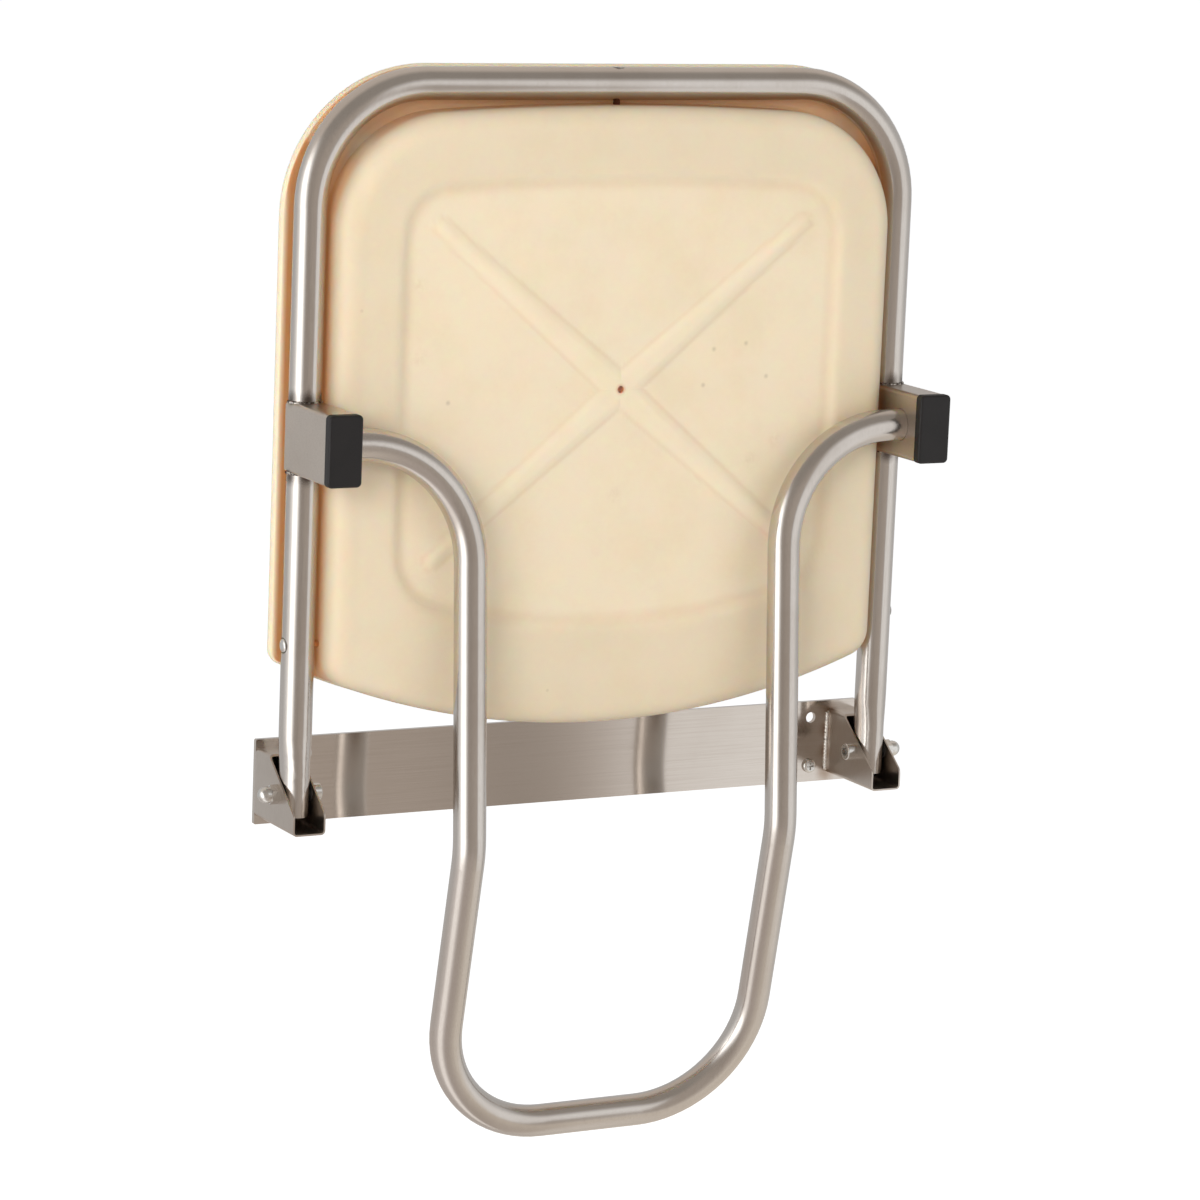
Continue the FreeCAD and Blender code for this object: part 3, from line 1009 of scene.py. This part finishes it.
@dataclass
class SeatFrame:
    """The bent frame tube with the leg blocks, their caps and the seat's screws."""

    nodes: Nodes
    tube_centre: float = 0.190
    tube_radius: float = 0.0095
    frame_plane: float = -0.035
    block_height: float = 0.205
    half_block: float = 0.020
    scorch: Colour = paint(74, 62, 54)
    scorch_turns: tuple[int, ...] = (-75, -12, 48)
    scorch_off: float = 0.002
    weld_radius: float = 0.0011
    weld_turns: tuple[int, int, int] = (-102, 103, 6)
    screw_height: float = 0.086
    head_points: int = 40
    head_sharp: float = 60.0
    head_rings: tuple[tuple[float, float], ...] = (
        (0.0040, 0.1980),
        (0.0041, 0.1986),
        (0.0040, 0.1993),
        (0.0036, 0.1998),
        (0.0028, 0.2002),
        (0.0018, 0.20045),
        (0.0009, 0.2005),
    )

    def on_tube(self, side: int, degrees: float, height: float) -> Place:
        """A place on the skin of an upright tube.

        Args:
            side: -1 for the left tube, 1 for the right one.
            degrees: How far round from the room's side it is, towards +X.
            height: Its height.

        Returns:
            The place.
        """
        turn = math.radians(degrees)
        x = side * self.tube_centre + math.sin(turn) * self.tube_radius
        return x, self.frame_plane - math.cos(turn) * self.tube_radius, height

    def weld_places(self) -> tuple[Place, ...]:
        """The points round which the tube is scorched by the block welds' heat."""
        return tuple(
            self.on_tube(side, turn, self.block_height + up * (self.half_block + self.scorch_off))
            for side in SIDES.values()
            for up in (1, -1)
            for turn in self.scorch_turns
        )

    def dress(self) -> None:
        """Gives the tube, the blocks, the caps and the screws their finishes."""
        outside = self.tube_centre + self.tube_radius
        tube = SatinSteel(
            "frame_tube_steel",
            tint=self.scorch,
            welds=self.weld_places(),
            weld_reach=0.007,
            # The side screws, with a ring of painted shadow round each on the tube.
            screws=tuple(
                (side * outside, self.frame_plane, self.screw_height) for side in SIDES.values()
            ),
        ).make()
        block = SatinSteel(
            "leg_block_steel",
            base=paint(200, 190, 180),
            shade=paint(176, 164, 152),
            tint=self.scorch,
            roughness=0.32,
            stretch=(900.0, 500.0, 900.0),
            welds=self.weld_places(),
            weld_reach=0.006,
        ).make()
        cap = DullPlastic("cap_black", paint(15, 12, 13), paint(10, 8, 9), 0.52).make()
        screw = SeatScrew("seat_screw_steel").make()
        dress(self.nodes, tube, "seat_frame_tube")
        dress(self.nodes, screw, "seat_front_screw")
        for side in SIDES:
            dress(self.nodes, block, f"{side}_leg_block")
            dress(self.nodes, cap, f"{side}_leg_block_cap")
            dress(self.nodes, screw, f"{side}_seat_side_screw")

    def build_screw_heads(self) -> None:
        """Sets a domed head on each side screw."""
        bright = SeatScrew("side_screw_head_steel", roughness=0.1).make()
        angles = spread(0.0, math.tau, self.head_points)
        centre = Vector((0.0, self.frame_plane, self.screw_height))
        for name, side in SIDES.items():
            form = Form(f"{name}_side_screw_head")
            form.loft(
                [
                    centre + Vector((side * x, math.cos(a) * radius, math.sin(a) * radius))
                    for a in angles
                ]
                for radius, x in self.head_rings
            )
            form.become(bright, Body.SEAT, self.head_sharp)

    def build(self) -> None:
        """Sets the screw heads, and lays a weld bead round the tube at each block's ends."""
        self.build_screw_heads()
        weld = WeldedSteel("block_weld_steel", scale=paint(66, 56, 50), scaled=0.34).make()
        for name, side in SIDES.items():
            for level, up in (("upper", 1), ("lower", -1)):
                height = self.block_height + up * self.half_block
                turns = range(*self.weld_turns)
                path = [Vector(self.on_tube(side, turn, height)) for turn in turns]
                bead = f"{name}_{level}_block_weld"
                WeldBead(bead, path, Body.SEAT, Slot.TUBE, self.weld_radius).build(weld)


@dataclass(frozen=True)
class OutlineEnd:
    """The front or the rear edge of the seat's outline, straight or bowed, with its corners."""

    level: float
    corner: float
    bow: float | None = None
    edge_points: int = 30
    corner_points: int = 30

    def quarter(self, half: float, inset: float, up: int) -> list[tuple[float, float]]:
        """The right half of the edge, from its middle out and round the corner.

        Args:
            half: The outline's half width there.
            inset: How far inside the outline the points are.
            up: 1 for the front, -1 for the rear.

        Returns:
            The points' X and Z.
        """
        level = self.level - up * inset
        corner = self.corner - inset
        corner_x = half - corner
        lean = 0.0
        corner_z = level - up * corner
        if self.bow:
            bow = self.bow - inset
            lean = math.asin(corner_x / (bow - corner))
            corner_z = level - up * (bow - (bow - corner) * math.cos(lean))
            edge = [
                (bow * math.sin(a), level - up * bow * (1 - math.cos(a)))
                for a in spread(0, lean, self.edge_points)
            ]
        else:
            edge = [(x, level) for x in spread(0, corner_x, self.edge_points)]
        turns = [*spread(lean, math.pi / 2, self.corner_points), math.pi / 2]
        return edge + [
            (corner_x + corner * math.sin(a), corner_z + up * corner * math.cos(a)) for a in turns
        ]


@dataclass(frozen=True)
class Outline:
    """The seat's plan outline: straight sides between a front and a rear edge."""

    half_width: float
    front: OutlineEnd
    rear: OutlineEnd
    side_points: int = 60

    def points(self, inset: float = 0.0) -> list[tuple[float, float]]:
        """The outline's points, drawn in by an inset.

        Args:
            inset: How far inside the outline they are.

        Returns:
            Their X and Z, from the front's middle round by the right.
        """
        half = self.half_width - inset
        front = self.front.quarter(half, inset, 1)
        rear = self.rear.quarter(half, inset, -1)
        side = [(half, z) for z in spread(front[-1][1], rear[-1][1], self.side_points)][1:]
        right = front + side + rear[::-1]
        return right + [(-x, z) for x, z in reversed(right[1:-1])]

    def ring(self, inset: float, depth: float) -> list[Vector]:
        """The outline's points at a depth."""
        return [Vector((x, depth, z)) for x, z in self.points(inset)]


@dataclass(frozen=True)
class SeatShades:
    """Where the seat gets painted warm shade, painted glow and darker cream. X is from the middle
    outwards.
    """

    facing: Step = Step(-0.0251, -0.0253)
    side: Step = Step(0.150, 0.170)
    top: Step = Step(0.360, 0.380)
    rim_side: Step = Step(0.2010, 0.1998)
    rim_top: Step = Step(0.4118, 0.4106)
    wall_face: Step = Step(-0.0520, -0.0450)
    wall_face_share: float = 0.06
    wall_foot: Step = Step(-0.0450, -0.0385)
    wall_foot_share: float = 0.49
    lip_outer: Step = Step(0.2016, 0.1985)
    lip_inner: Step = Step(0.1860, 0.1890)
    lip_share: float = 0.95
    edge: Step = Step(-0.0555, -0.0450)
    edge_share: float = 0.2
    edge_top: Step = Step(0.370, 0.388)
    edge_top_share: float = 0.1
    face: float = -0.0525
    crease_share: float = 0.14
    sunk_start: Step = Step(0.001, 0.005)
    sunk_end: Step = Step(0.012, 0.0065)
    ridge_start: Step = Step(0.0, 0.1)
    ridge_end: Step = Step(0.6, 0.2)
    gap_side: Step = Step(0.160, 0.172)
    gap_top: Step = Step(0.372, 0.386)
    gap_top_share: float = 0.45
    gap_outer: Step = Step(0.1840, 0.1800)
    gap_upper: Step = Step(0.4000, 0.3950)
    gap_depth: Step = Step(-0.0460, -0.0385)
    back: float = -0.0251
    # Darker on the rim round the recess and towards the bottom; painted shade on the left flank.
    rim_darker: float = 0.42
    left: Step = Step(-0.1600, -0.1740)
    left_shade: float = 0.35
    low: Step = Step(0.070, 0.045)
    low_darker: float = 0.1

    def crease(self, sunk: float, raised: float) -> float:
        """How close a point of the pan's face is to the foot of the recess's wall or of a ridge.

        Args:
            sunk: How far inside the recess's outline it is.
            raised: Its share of the ridges' height.

        Returns:
            The closeness, from 0 to 1.
        """
        wall = self.sunk_start.at(sunk) * self.sunk_end.at(sunk)
        return max(wall, self.ridge_start.at(raised) * self.ridge_end.at(raised))

    def warm_shade(self, place: Vector, crease: float) -> float:
        """How much painted warm shade a point gets: in the groove by the tube, the creases and the
        edges.

        Args:
            place: The point.
            crease: How close it is to a crease.

        Returns:
            The painted warm shade, from 0 to 1.
        """
        x, depth, z = abs(place.x), place.y, place.z
        beside = max(self.side.at(x), self.top.at(z))
        inside = min(self.rim_side.at(x), self.rim_top.at(z))
        wall = self.wall_face_share * self.wall_face.at(depth)
        wall += self.wall_foot_share * self.wall_foot.at(depth)
        lip = self.lip_share * self.lip_outer.at(x) * self.lip_inner.at(x)
        deep = max(wall * inside, lip) * self.facing.at(depth)
        edge = self.edge.at(depth)
        top = self.edge_top_share * edge * self.edge_top.at(z) * inside
        face = self.crease_share * crease if depth < self.face else 0.0
        return max(beside * deep + top, self.edge_share * edge * (1 - beside), face)

    def glow(self, place: Vector) -> float:
        """How deep a point lies in the narrow gap between the pan and the tube, for its painted
        glow.

        Args:
            place: The point.

        Returns:
            The depth, from 0 to 1.
        """
        x, depth, z = abs(place.x), place.y, place.z
        beside = max(self.gap_side.at(x), self.gap_top_share * self.gap_top.at(z))
        inner = self.gap_outer.at(x) * self.gap_upper.at(z)
        return beside * inner * self.facing.at(depth) * self.gap_depth.at(depth)

    def darkening(self, place: Vector, flat: float) -> float:
        """How much darker a point is: on the rim round the recess and at the edges; the left is
        painted shade.

        Args:
            place: The point.
            flat: 1 outside the recess, 0 on its floor.

        Returns:
            The darkening, from 0 to 1.
        """
        darker = self.rim_darker * flat + self.left_shade * self.left.at(place.x)
        darker += self.low_darker * self.low.at(place.z)
        return 0.0 if place.y > self.back else min(1.0, darker)


@dataclass
class MouldedSeat:
    """The hollow seat: a deck over the frame, a pan between its tubes, a recess below."""

    deck: Outline = Outline(
        half_width=0.2027,
        front=OutlineEnd(level=0.4133, corner=0.086),
        rear=OutlineEnd(0.0305, 0.009, bow=0.475, edge_points=34, corner_points=14),
    )
    pan: Outline = Outline(
        half_width=0.1779,
        front=OutlineEnd(level=0.3910, corner=0.070, bow=1.9),
        rear=OutlineEnd(0.032, 0.018, bow=0.475, edge_points=34, corner_points=14),
    )
    shades: SeatShades = SeatShades()
    deck_front: float = -0.0255
    deck_back: float = -0.018
    pan_front: float = -0.056
    pan_round: float = 0.012
    pan_round_rings: int = 9
    pan_wall: tuple[float, ...] = (-0.044, -0.038, -0.032, -0.027)
    ledge: tuple[tuple[float, float], ...] = (
        (0.06, -0.0259),
        (0.12, -0.0255),
        (0.5, -0.0255),
        (0.9, -0.0255),
    )
    lip_round: float = 0.002
    lip_rings: int = 4
    seam_depth: float = -0.0222
    seam_height: float = 0.00025
    seam: tuple[tuple[float, float], ...] = (
        (1.0, -0.0004),
        (0.4, -0.0002),
        (0.0, 0.0),
        (0.4, 0.0002),
        (1.0, 0.0004),
    )
    back_round: float = 0.003
    back_rings: int = 5
    sitting_face: tuple[float, ...] = (0.97, 0.92, 0.85, 0.75, 0.62, 0.48, 0.34, 0.2, 0.08)
    hollow: float = 0.0012
    hollow_edge: Step = Step(0.97, 0.5)
    recess_half_width: float = 0.1425
    recess_top: float = 0.3535
    recess_top_bow: float = 1.74
    recess_rear: float = 0.089
    recess_rear_bow: float = 0.475
    recess_corner: float = 0.030
    recess_depth: float = 0.003
    recess_wall: Step = Step(-0.0015, 0.0065)
    ridge_height: float = 0.0015
    ridge_reach: tuple[float, float] = (0.117, 0.095)
    ridge_half_widths: tuple[float, float] = (0.0105, 0.0065)
    ridge_foot: float = 0.001
    ridge_crest: float = 0.007
    vent_height: float = 0.229
    vent_radius: float = 0.002
    vent_depths: tuple[float, ...] = (0.0035, 0.0003)
    # How far into the vent hole the middle of its orange-brown lies.
    vent_orange_inset: float = 0.0018
    vent_round: Step = Step(0.25, 0.0)
    face_rings: int = 72
    sharp: float = 35.0
    specks: tuple[Place, ...] = (
        (0.0610, -0.0530, 0.2507),
        (0.0966, -0.0530, 0.2339),
        (0.1495, -0.0530, 0.2349),
        (0.0822, -0.0530, 0.2537),
        (0.0548, -0.0530, 0.2298),
        (-0.1095, -0.0530, 0.2242),
        (0.1483, -0.0530, 0.2081),
        (-0.0715, -0.0545, 0.3940),
        (-0.0375, -0.0545, 0.3960),
    )
    # Real stains, but the last two points are a painted shadow by the right leg's bend.
    stains_and_shadows: tuple[Place, ...] = (
        (-0.0004, -0.0530, 0.1673),
        (-0.1294, -0.0530, 0.2916),
        (-0.1280, -0.0530, 0.2500),
        (0.0885, -0.0530, 0.1845),
        (0.1047, -0.0530, 0.1958),
    )

    def within(self, x: float, z: float) -> float:
        """How far inside the recess's outline a point is.

        Args:
            x: The point's X.
            z: The point's Z.

        Returns:
            The distance, which is negative outside.
        """
        top = self.recess_top - x * x / (2 * self.recess_top_bow)
        rear = self.recess_rear + x * x / (2 * self.recess_rear_bow)
        radius = self.recess_corner
        across = abs(x) - self.recess_half_width + radius
        along = abs(z - (top + rear) / 2) - (top - rear) / 2 + radius
        beyond = math.hypot(max(across, 0.0), max(along, 0.0))
        return radius - beyond - min(max(across, along), 0.0)

    def recess(self, x: float, z: float) -> float:
        """The recess's share of its depth at a point."""
        return self.recess_wall.at(self.within(x, z))

    def ridges(self, x: float, z: float) -> float:
        """The cross of ridges' share of its height at a point.

        Args:
            x: The point's X.
            z: The point's Z.

        Returns:
            The share.
        """
        best = 0.0
        end = Vector(self.ridge_reach)
        wide, narrow = self.ridge_half_widths
        point = Vector((x, z - self.vent_height))
        for side in (1, -1):
            arm = Vector((side * end.x, end.y)).normalized()
            along = abs(point.dot(arm)) / end.length
            half = wide + (narrow - wide) * min(1.0, along)
            beyond = max(0.0, along - 1.0) * end.length
            away = math.hypot(abs(point.cross(arm)), beyond)
            best = max(best, Step(half + self.ridge_foot, half - self.ridge_crest).at(away))
        return best

    def front(self, x: float, z: float) -> float:
        """The Y of the pan's face at a point."""
        sunk = self.recess_depth * self.recess(x, z)
        return self.pan_front + sunk - self.ridge_height * self.ridges(x, z)

    def face(self) -> list[list[Vector]]:
        """The rings from the bottom of the vent hole out over the pan's face.

        Returns:
            The rings.
        """
        middle = Vector((0.0, 0.0, self.vent_height))
        edges = self.pan.ring(self.pan_round, 0.0)
        angles = [math.atan2(edge.x, edge.z - middle.z) for edge in edges]
        rims = [
            Vector((math.sin(a), 0.0, math.cos(a))) * self.vent_radius + middle for a in angles
        ]
        floor = self.front(0.0, self.vent_height)
        drops = [Vector((0.0, floor + deep, 0.0)) for deep in self.vent_depths]
        rings = [[rim + drop for rim in rims] for drop in drops]
        widest = (edges[0] - middle).length / self.vent_radius
        for share in (number / self.face_rings for number in range(self.face_rings + 1)):
            ring = []
            for rim, edge in zip(rims, edges):
                size = self.vent_radius / (edge - middle).length
                place = middle.lerp(edge, size + (1 - size) * share)
                round_place = middle.lerp(rim, 1 + share * (widest - 1))
                place = place.lerp(round_place, self.vent_round.at(share))
                place.y = self.front(place.x, place.z)
                ring.append(place)
            rings.append(ring)
        return rings

    def edges(self) -> list[list[Vector]]:
        """The rings round the pan's edge, out along the ledge and round the deck's edge.

        Returns:
            The rings.
        """
        rings = []
        for turn in spread(0.0, math.pi / 2, self.pan_round_rings)[1:]:
            inset = self.pan_round * (1 - math.sin(turn))
            depth = self.pan_front + self.pan_round * (1 - math.cos(turn))
            rings.append(self.pan.ring(inset, depth))
        rings += [self.pan.ring(0.0, depth) for depth in self.pan_wall]
        for share, depth in self.ledge:
            pairs = zip(self.pan.ring(0.0, depth), self.deck.ring(self.lip_round, depth))
            rings.append([inner.lerp(outer, share) for inner, outer in pairs])
        for turn in spread(0.0, math.pi / 2, self.lip_rings):
            inset = self.lip_round * (1 - math.sin(turn)) + self.seam_height
            depth = self.deck_front + self.lip_round * (1 - math.cos(turn))
            rings.append(self.deck.ring(inset, depth))
        for share, depth in self.seam:
            rings.append(self.deck.ring(share * self.seam_height, self.seam_depth + depth))
        for turn in [*spread(0.0, math.pi / 2, self.back_rings), math.pi / 2]:
            inset = self.back_round * (1 - math.cos(turn)) + self.seam_height
            depth = self.deck_back - self.back_round * (1 - math.sin(turn))
            rings.append(self.deck.ring(inset, depth))
        return rings

    def back(self, rim: Sequence[Vector]) -> list[list[Vector]]:
        """The rings of the sitting face, from its rim inwards.

        Args:
            rim: The last ring of the deck's edge.

        Returns:
            The rings.
        """
        middle = Vector((0.0, 0.0, self.vent_height))
        rings = []
        for share in self.sitting_face:
            hollow = self.hollow * self.hollow_edge.at(share)
            ring = [middle.lerp(point, share) for point in rim]
            for place, point in zip(ring, rim):
                place.y = point.y - hollow
            rings.append(ring)
        return rings

    def crease(self, place: Vector) -> float:
        """How close a place is to a crease of the pan's face."""
        x, z = place.x, place.z
        return self.shades.crease(self.within(x, z), self.ridges(x, z))

    def build(self) -> None:
        """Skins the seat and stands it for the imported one."""
        shades = self.shades
        edges = self.edges()
        form = Form("moulded_seat")
        form.loft([*self.face(), *edges, *self.back(edges[-1])])
        # Painted warm shade in the groove by the tube, the creases and along the edges.
        form.paint("groove", lambda place: shades.warm_shade(place, self.crease(place)))
        # A painted glow deep in the gap between the pan and the tube.
        form.paint("dark", shades.glow)
        # Darker cream on the rim and towards the bottom, with painted shade on the left flank.
        form.paint("worn", lambda place: shades.darkening(place, 1 - self.recess(place.x, place.z)))
        vent = (0.0, self.front(0.0, self.vent_height) + self.vent_orange_inset, self.vent_height)
        cream = MouldedCream(
            "cream_seat_plastic", specks=self.specks, stains_and_shadows=self.stains_and_shadows, vent=vent
        ).make()
        piece = form.become(cream, Body.SEAT, self.sharp)
        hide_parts("seat_panel")


@dataclass
class Leg:
    """The bent leg tube."""

    nodes: Nodes

    def dress(self) -> None:
        """Gives the tube its finish."""
        dress(self.nodes, SatinSteel("leg_tube_steel").make(), "leg_tube")


# ---------------------------------------------------------------- studio and camera


@dataclass(frozen=True)
class Direction:
    """A direction from the object: azimuth from the room, towards +X, and elevation."""

    azimuth: float
    elevation: float

    def vector(self) -> Vector:
        """Works out the direction.

        Returns:
            It as a unit vector.
        """
        turn, rise = math.radians(self.azimuth), math.radians(self.elevation)
        level = Vector((math.sin(turn), -math.cos(turn), 0.0)) * math.cos(rise)
        return level + Vector((0.0, 0.0, math.sin(rise)))


@dataclass(frozen=True)
class Softbox:
    """A soft lamp, aimed at the seat. The tent stands for it in reflections."""

    name: str
    towards: Direction
    distance: float
    width: float
    height: float
    level: float
    aim: Place = (0.0, -0.03, 0.15)

    def place(self) -> None:
        """Puts the lamp in the studio."""
        data = bpy.data.lights.new(self.name, "AREA")
        data.shape = "RECTANGLE"
        data.size, data.size_y = self.width, self.height
        data.energy = self.level * math.pi * self.width * self.height
        lamp = bpy.data.objects.new(self.name, data)
        bpy.context.scene.collection.objects.link(lamp)
        out = self.towards.vector()
        lamp.location = Vector(self.aim) + out * self.distance
        lamp.rotation_euler = out.to_track_quat("Z", "Y").to_euler()
        lamp.visible_camera = False
        lamp.visible_glossy = False


@dataclass(frozen=True)
class Panel:
    """A place round the tent: its azimuth in degrees, its level and how warm it is."""

    azimuth: float
    level: float
    warmth: float = 0.0
    green_loss: float = 0.11
    blue_loss: float = 0.2

    def stop(self, brightest: float) -> tuple[float, Colour]:
        """The place and colour of a ramp round the tent.

        Args:
            brightest: The level that the ramp shows as white.

        Returns:
            The place from 0 to 1, and the colour there.
        """
        share = self.level / brightest
        green = share * (1 - self.green_loss * self.warmth)
        blue = share * (1 - self.blue_loss * self.warmth)
        return (self.azimuth + 180.0) / 360.0, (share, green, blue)


def turned(start: float, end: float) -> Step:
    """A step between two angles in degrees."""
    return Step(math.radians(start), math.radians(end))


@dataclass(frozen=True)
class ReflectionTent:
    """A round tent that only reflections see: soft panels at its sides, dim in front and above."""

    radius: float = 2.3
    height: float = 3.2
    foot: float = -0.455
    middle: float = 0.15
    segments: int = 96
    brightest: float = 3.0
    lean: float = 0.5
    lean_start: float = math.radians(10.5)
    lean_least: float = -math.radians(3.5)
    top: Colour = (0.40, 0.37, 0.34)
    behind: Colour = (0.72, 0.65, 0.59)
    low: Colour = (0.62, 0.55, 0.51)
    low_right: Colour = (0.84, 0.77, 0.68)
    low_share: float = 0.7
    depth_edge: Step = Step(-0.7, 0.7)
    left_edge: Step = Step(0.35, -0.2)
    roof_edge: Step = turned(14, 42)
    low_edge: Step = turned(-17, -33)
    low_right_edge: Step = turned(-20, -55)
    panels: tuple[Panel, ...] = (
        Panel(-180, 0.60),
        Panel(-121, 0.66),
        Panel(-101, 0.92),
        Panel(-90, 1.2),
        Panel(-79, 2.8),
        Panel(-61, 2.8),
        Panel(-48, 1.0),
        Panel(-37, 0.46, 0.9),
        Panel(-19, 0.44, 1.0),
        Panel(-5, 0.50, 1.0),
        Panel(18, 0.54, 1.0),
        Panel(22.0, 0.53, 1.0),
        Panel(23.7, 0.42, 1.0),
        Panel(25.9, 0.42, 1.0),
        Panel(27.0, 0.60, 0.9),
        Panel(28.3, 0.95, 0.2),
        Panel(29.6, 1.05),
        Panel(60, 1.08),
        Panel(72, 0.90),
        Panel(84, 0.72),
        Panel(110, 0.63),
        Panel(180, 0.60),
    )

    def share(self, colour: Colour) -> Colour:
        """A colour as a share of the brightest level."""
        return tuple(part / self.brightest for part in colour)

    def material(self) -> Material:
        """Builds the tent's glow, which depends on the direction from the seat.

        Returns:
            The material.
        """
        material, graph = start_material("reflection_tent")
        across, depth, up = graph.axes()
        away = (across * across + depth * depth).power(0.5)
        elevation = (up - self.middle).angle(away)
        above = (elevation + self.lean_start).most(self.lean_least)
        azimuth = across.angle(0.0 - depth) + above * self.lean
        stops = [panel.stop(self.brightest) for panel in self.panels]
        wall = graph.ramp(azimuth / math.tau + 0.5, stops)
        front_or_back = depth.rise(self.depth_edge)
        roof = graph.blend(front_or_back, self.share(self.top), self.share(self.behind))
        colour = graph.blend(elevation.rise(self.roof_edge), wall, roof)
        left = across.rise(self.left_edge)
        low = elevation.rise(self.low_edge) * left * self.low_share
        colour = graph.blend(low, colour, self.share(self.low))
        low = elevation.rise(self.low_right_edge) * (1.0 - left)
        colour = graph.blend(low, colour, self.share(self.low_right))
        graph.finish(graph.glow("ShaderNodeEmission", colour, self.brightest))
        return material

    def place(self) -> None:
        """Puts the tent in the studio."""
        form = Form("reflection_tent")
        bmesh.ops.create_cone(
            form.bm,
            cap_ends=True,
            cap_tris=False,
            segments=self.segments,
            radius1=self.radius,
            radius2=self.radius,
            depth=self.height,
            matrix=Matrix.Translation((0.0, 0.0, self.foot + self.height / 2)),
        )
        tent = form.stand(self.material())
        tent.visible_camera = False
        tent.visible_diffuse = False
        tent.visible_shadow = False
        tent.visible_transmission = False


@dataclass(frozen=True)
class Studio:
    """The plain pale floor, the white room and the soft lamps."""

    floor_height: float = -0.464
    floor_size: float = 30.0
    floor_colour: Colour = (0.8, 0.8, 0.8)
    floor_glow: float = 0.68
    room_light: float = 0.42
    lamps: tuple[Softbox, ...] = (
        Softbox("left_softbox", Direction(-70.0, 2.0), 1.9, 1.3, 2.0, 1.5),
        Softbox("right_softbox", Direction(42.0, -4.0), 1.9, 0.95, 1.6, 0.9),
        Softbox("form_light", Direction(-46.0, 16.0), 2.3, 0.8, 0.8, 9.5),
        Softbox("front_fill", Direction(10.0, 12.0), 2.6, 1.6, 1.6, 1.2),
        Softbox("top_fill", Direction(0.0, 76.0), 2.2, 1.6, 1.6, 0.4),
    )

    def lay_floor(self) -> None:
        """Lays the floor, which shows white and keeps the seat's shadow."""
        material, graph = start_material("pale_floor")
        matt = graph.out("ShaderNodeBsdfDiffuse", {}, {"Color": self.floor_colour})
        glow = graph.glow("ShaderNodeEmission", WHITE, self.floor_glow)
        none = graph.glow("ShaderNodeEmission", BLACK, 0.0)
        lit = graph.out("ShaderNodeMixShader", {}, {0: graph.seen(), 1: none, 2: glow})
        graph.finish(graph.out("ShaderNodeAddShader", {}, {0: matt, 1: lit}))
        form = Form("pale_floor")
        place = Matrix.Translation((0.0, 0.0, self.floor_height))
        size = self.floor_size
        bmesh.ops.create_grid(form.bm, x_segments=1, y_segments=1, size=size, matrix=place)
        form.stand(material)

    def fill_room(self) -> None:
        """Makes the world white where it is seen, and a plain soft light elsewhere."""
        world = bpy.data.worlds.new("white_room")
        world.use_nodes = True
        bpy.context.scene.world = world
        graph = Graph(world.node_tree, "ShaderNodeOutputWorld")
        soft = graph.glow("ShaderNodeBackground", WHITE, self.room_light)
        white = graph.glow("ShaderNodeBackground", WHITE, 1.0)
        graph.finish(graph.out("ShaderNodeMixShader", {}, {0: graph.seen(), 1: soft, 2: white}))

    def light(self) -> None:
        """Places the lamps and the reflection tent."""
        for lamp in self.lamps:
            lamp.place()
        ReflectionTent().place()


@dataclass(frozen=True)
class PhotoCamera:
    """The camera at the photograph's place."""

    towards: Direction = Direction(-27.98, 10.45)
    roll: float = 2.31
    distance: float = 2.77774
    lens: float = 140.2
    sensor: float = 36.0
    clip: tuple[float, float] = (0.1, 100.0)
    aim_right: float = 0.01846
    aim_up: float = 0.09495

    def place(self) -> None:
        """Puts the camera in the scene."""
        back = self.towards.vector()
        right = Vector((0.0, 0.0, 1.0)).cross(back).normalized()
        up = back.cross(right)
        roll = math.radians(self.roll)
        side = right * math.cos(roll) + up * math.sin(roll)
        top = up * math.cos(roll) - right * math.sin(roll)
        data = bpy.data.cameras.new("photo_camera")
        data.sensor_width = self.sensor
        data.lens = self.lens
        data.clip_start, data.clip_end = self.clip
        camera = bpy.data.objects.new("photo_camera", data)
        bpy.context.scene.collection.objects.link(camera)
        place = Matrix((side, top, back)).transposed().to_4x4()
        place.translation = right * self.aim_right + up * self.aim_up + back * self.distance
        camera.matrix_world = place
        bpy.context.scene.camera = camera


def main() -> None:
    """Builds and dresses each sub-assembly, then the studio."""
    logging.basicConfig(level=logging.INFO, format="%(name)s: %(message)s")
    for item in list(bpy.data.objects):
        bpy.data.objects.remove(item)
    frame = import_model()
    nodes = frame["nodes"]
    mount = WallMount(nodes)
    mount.dress()
    mount.build()
    seat_frame = SeatFrame(nodes)
    seat_frame.dress()
    seat_frame.build()
    MouldedSeat().build()
    Leg(nodes).dress()
    studio = Studio()
    studio.lay_floor()
    studio.fill_room()
    studio.light()
    PhotoCamera().place()
    bpy.context.scene.view_settings.view_transform = "Standard"


if __name__ == "__main__":
    main()
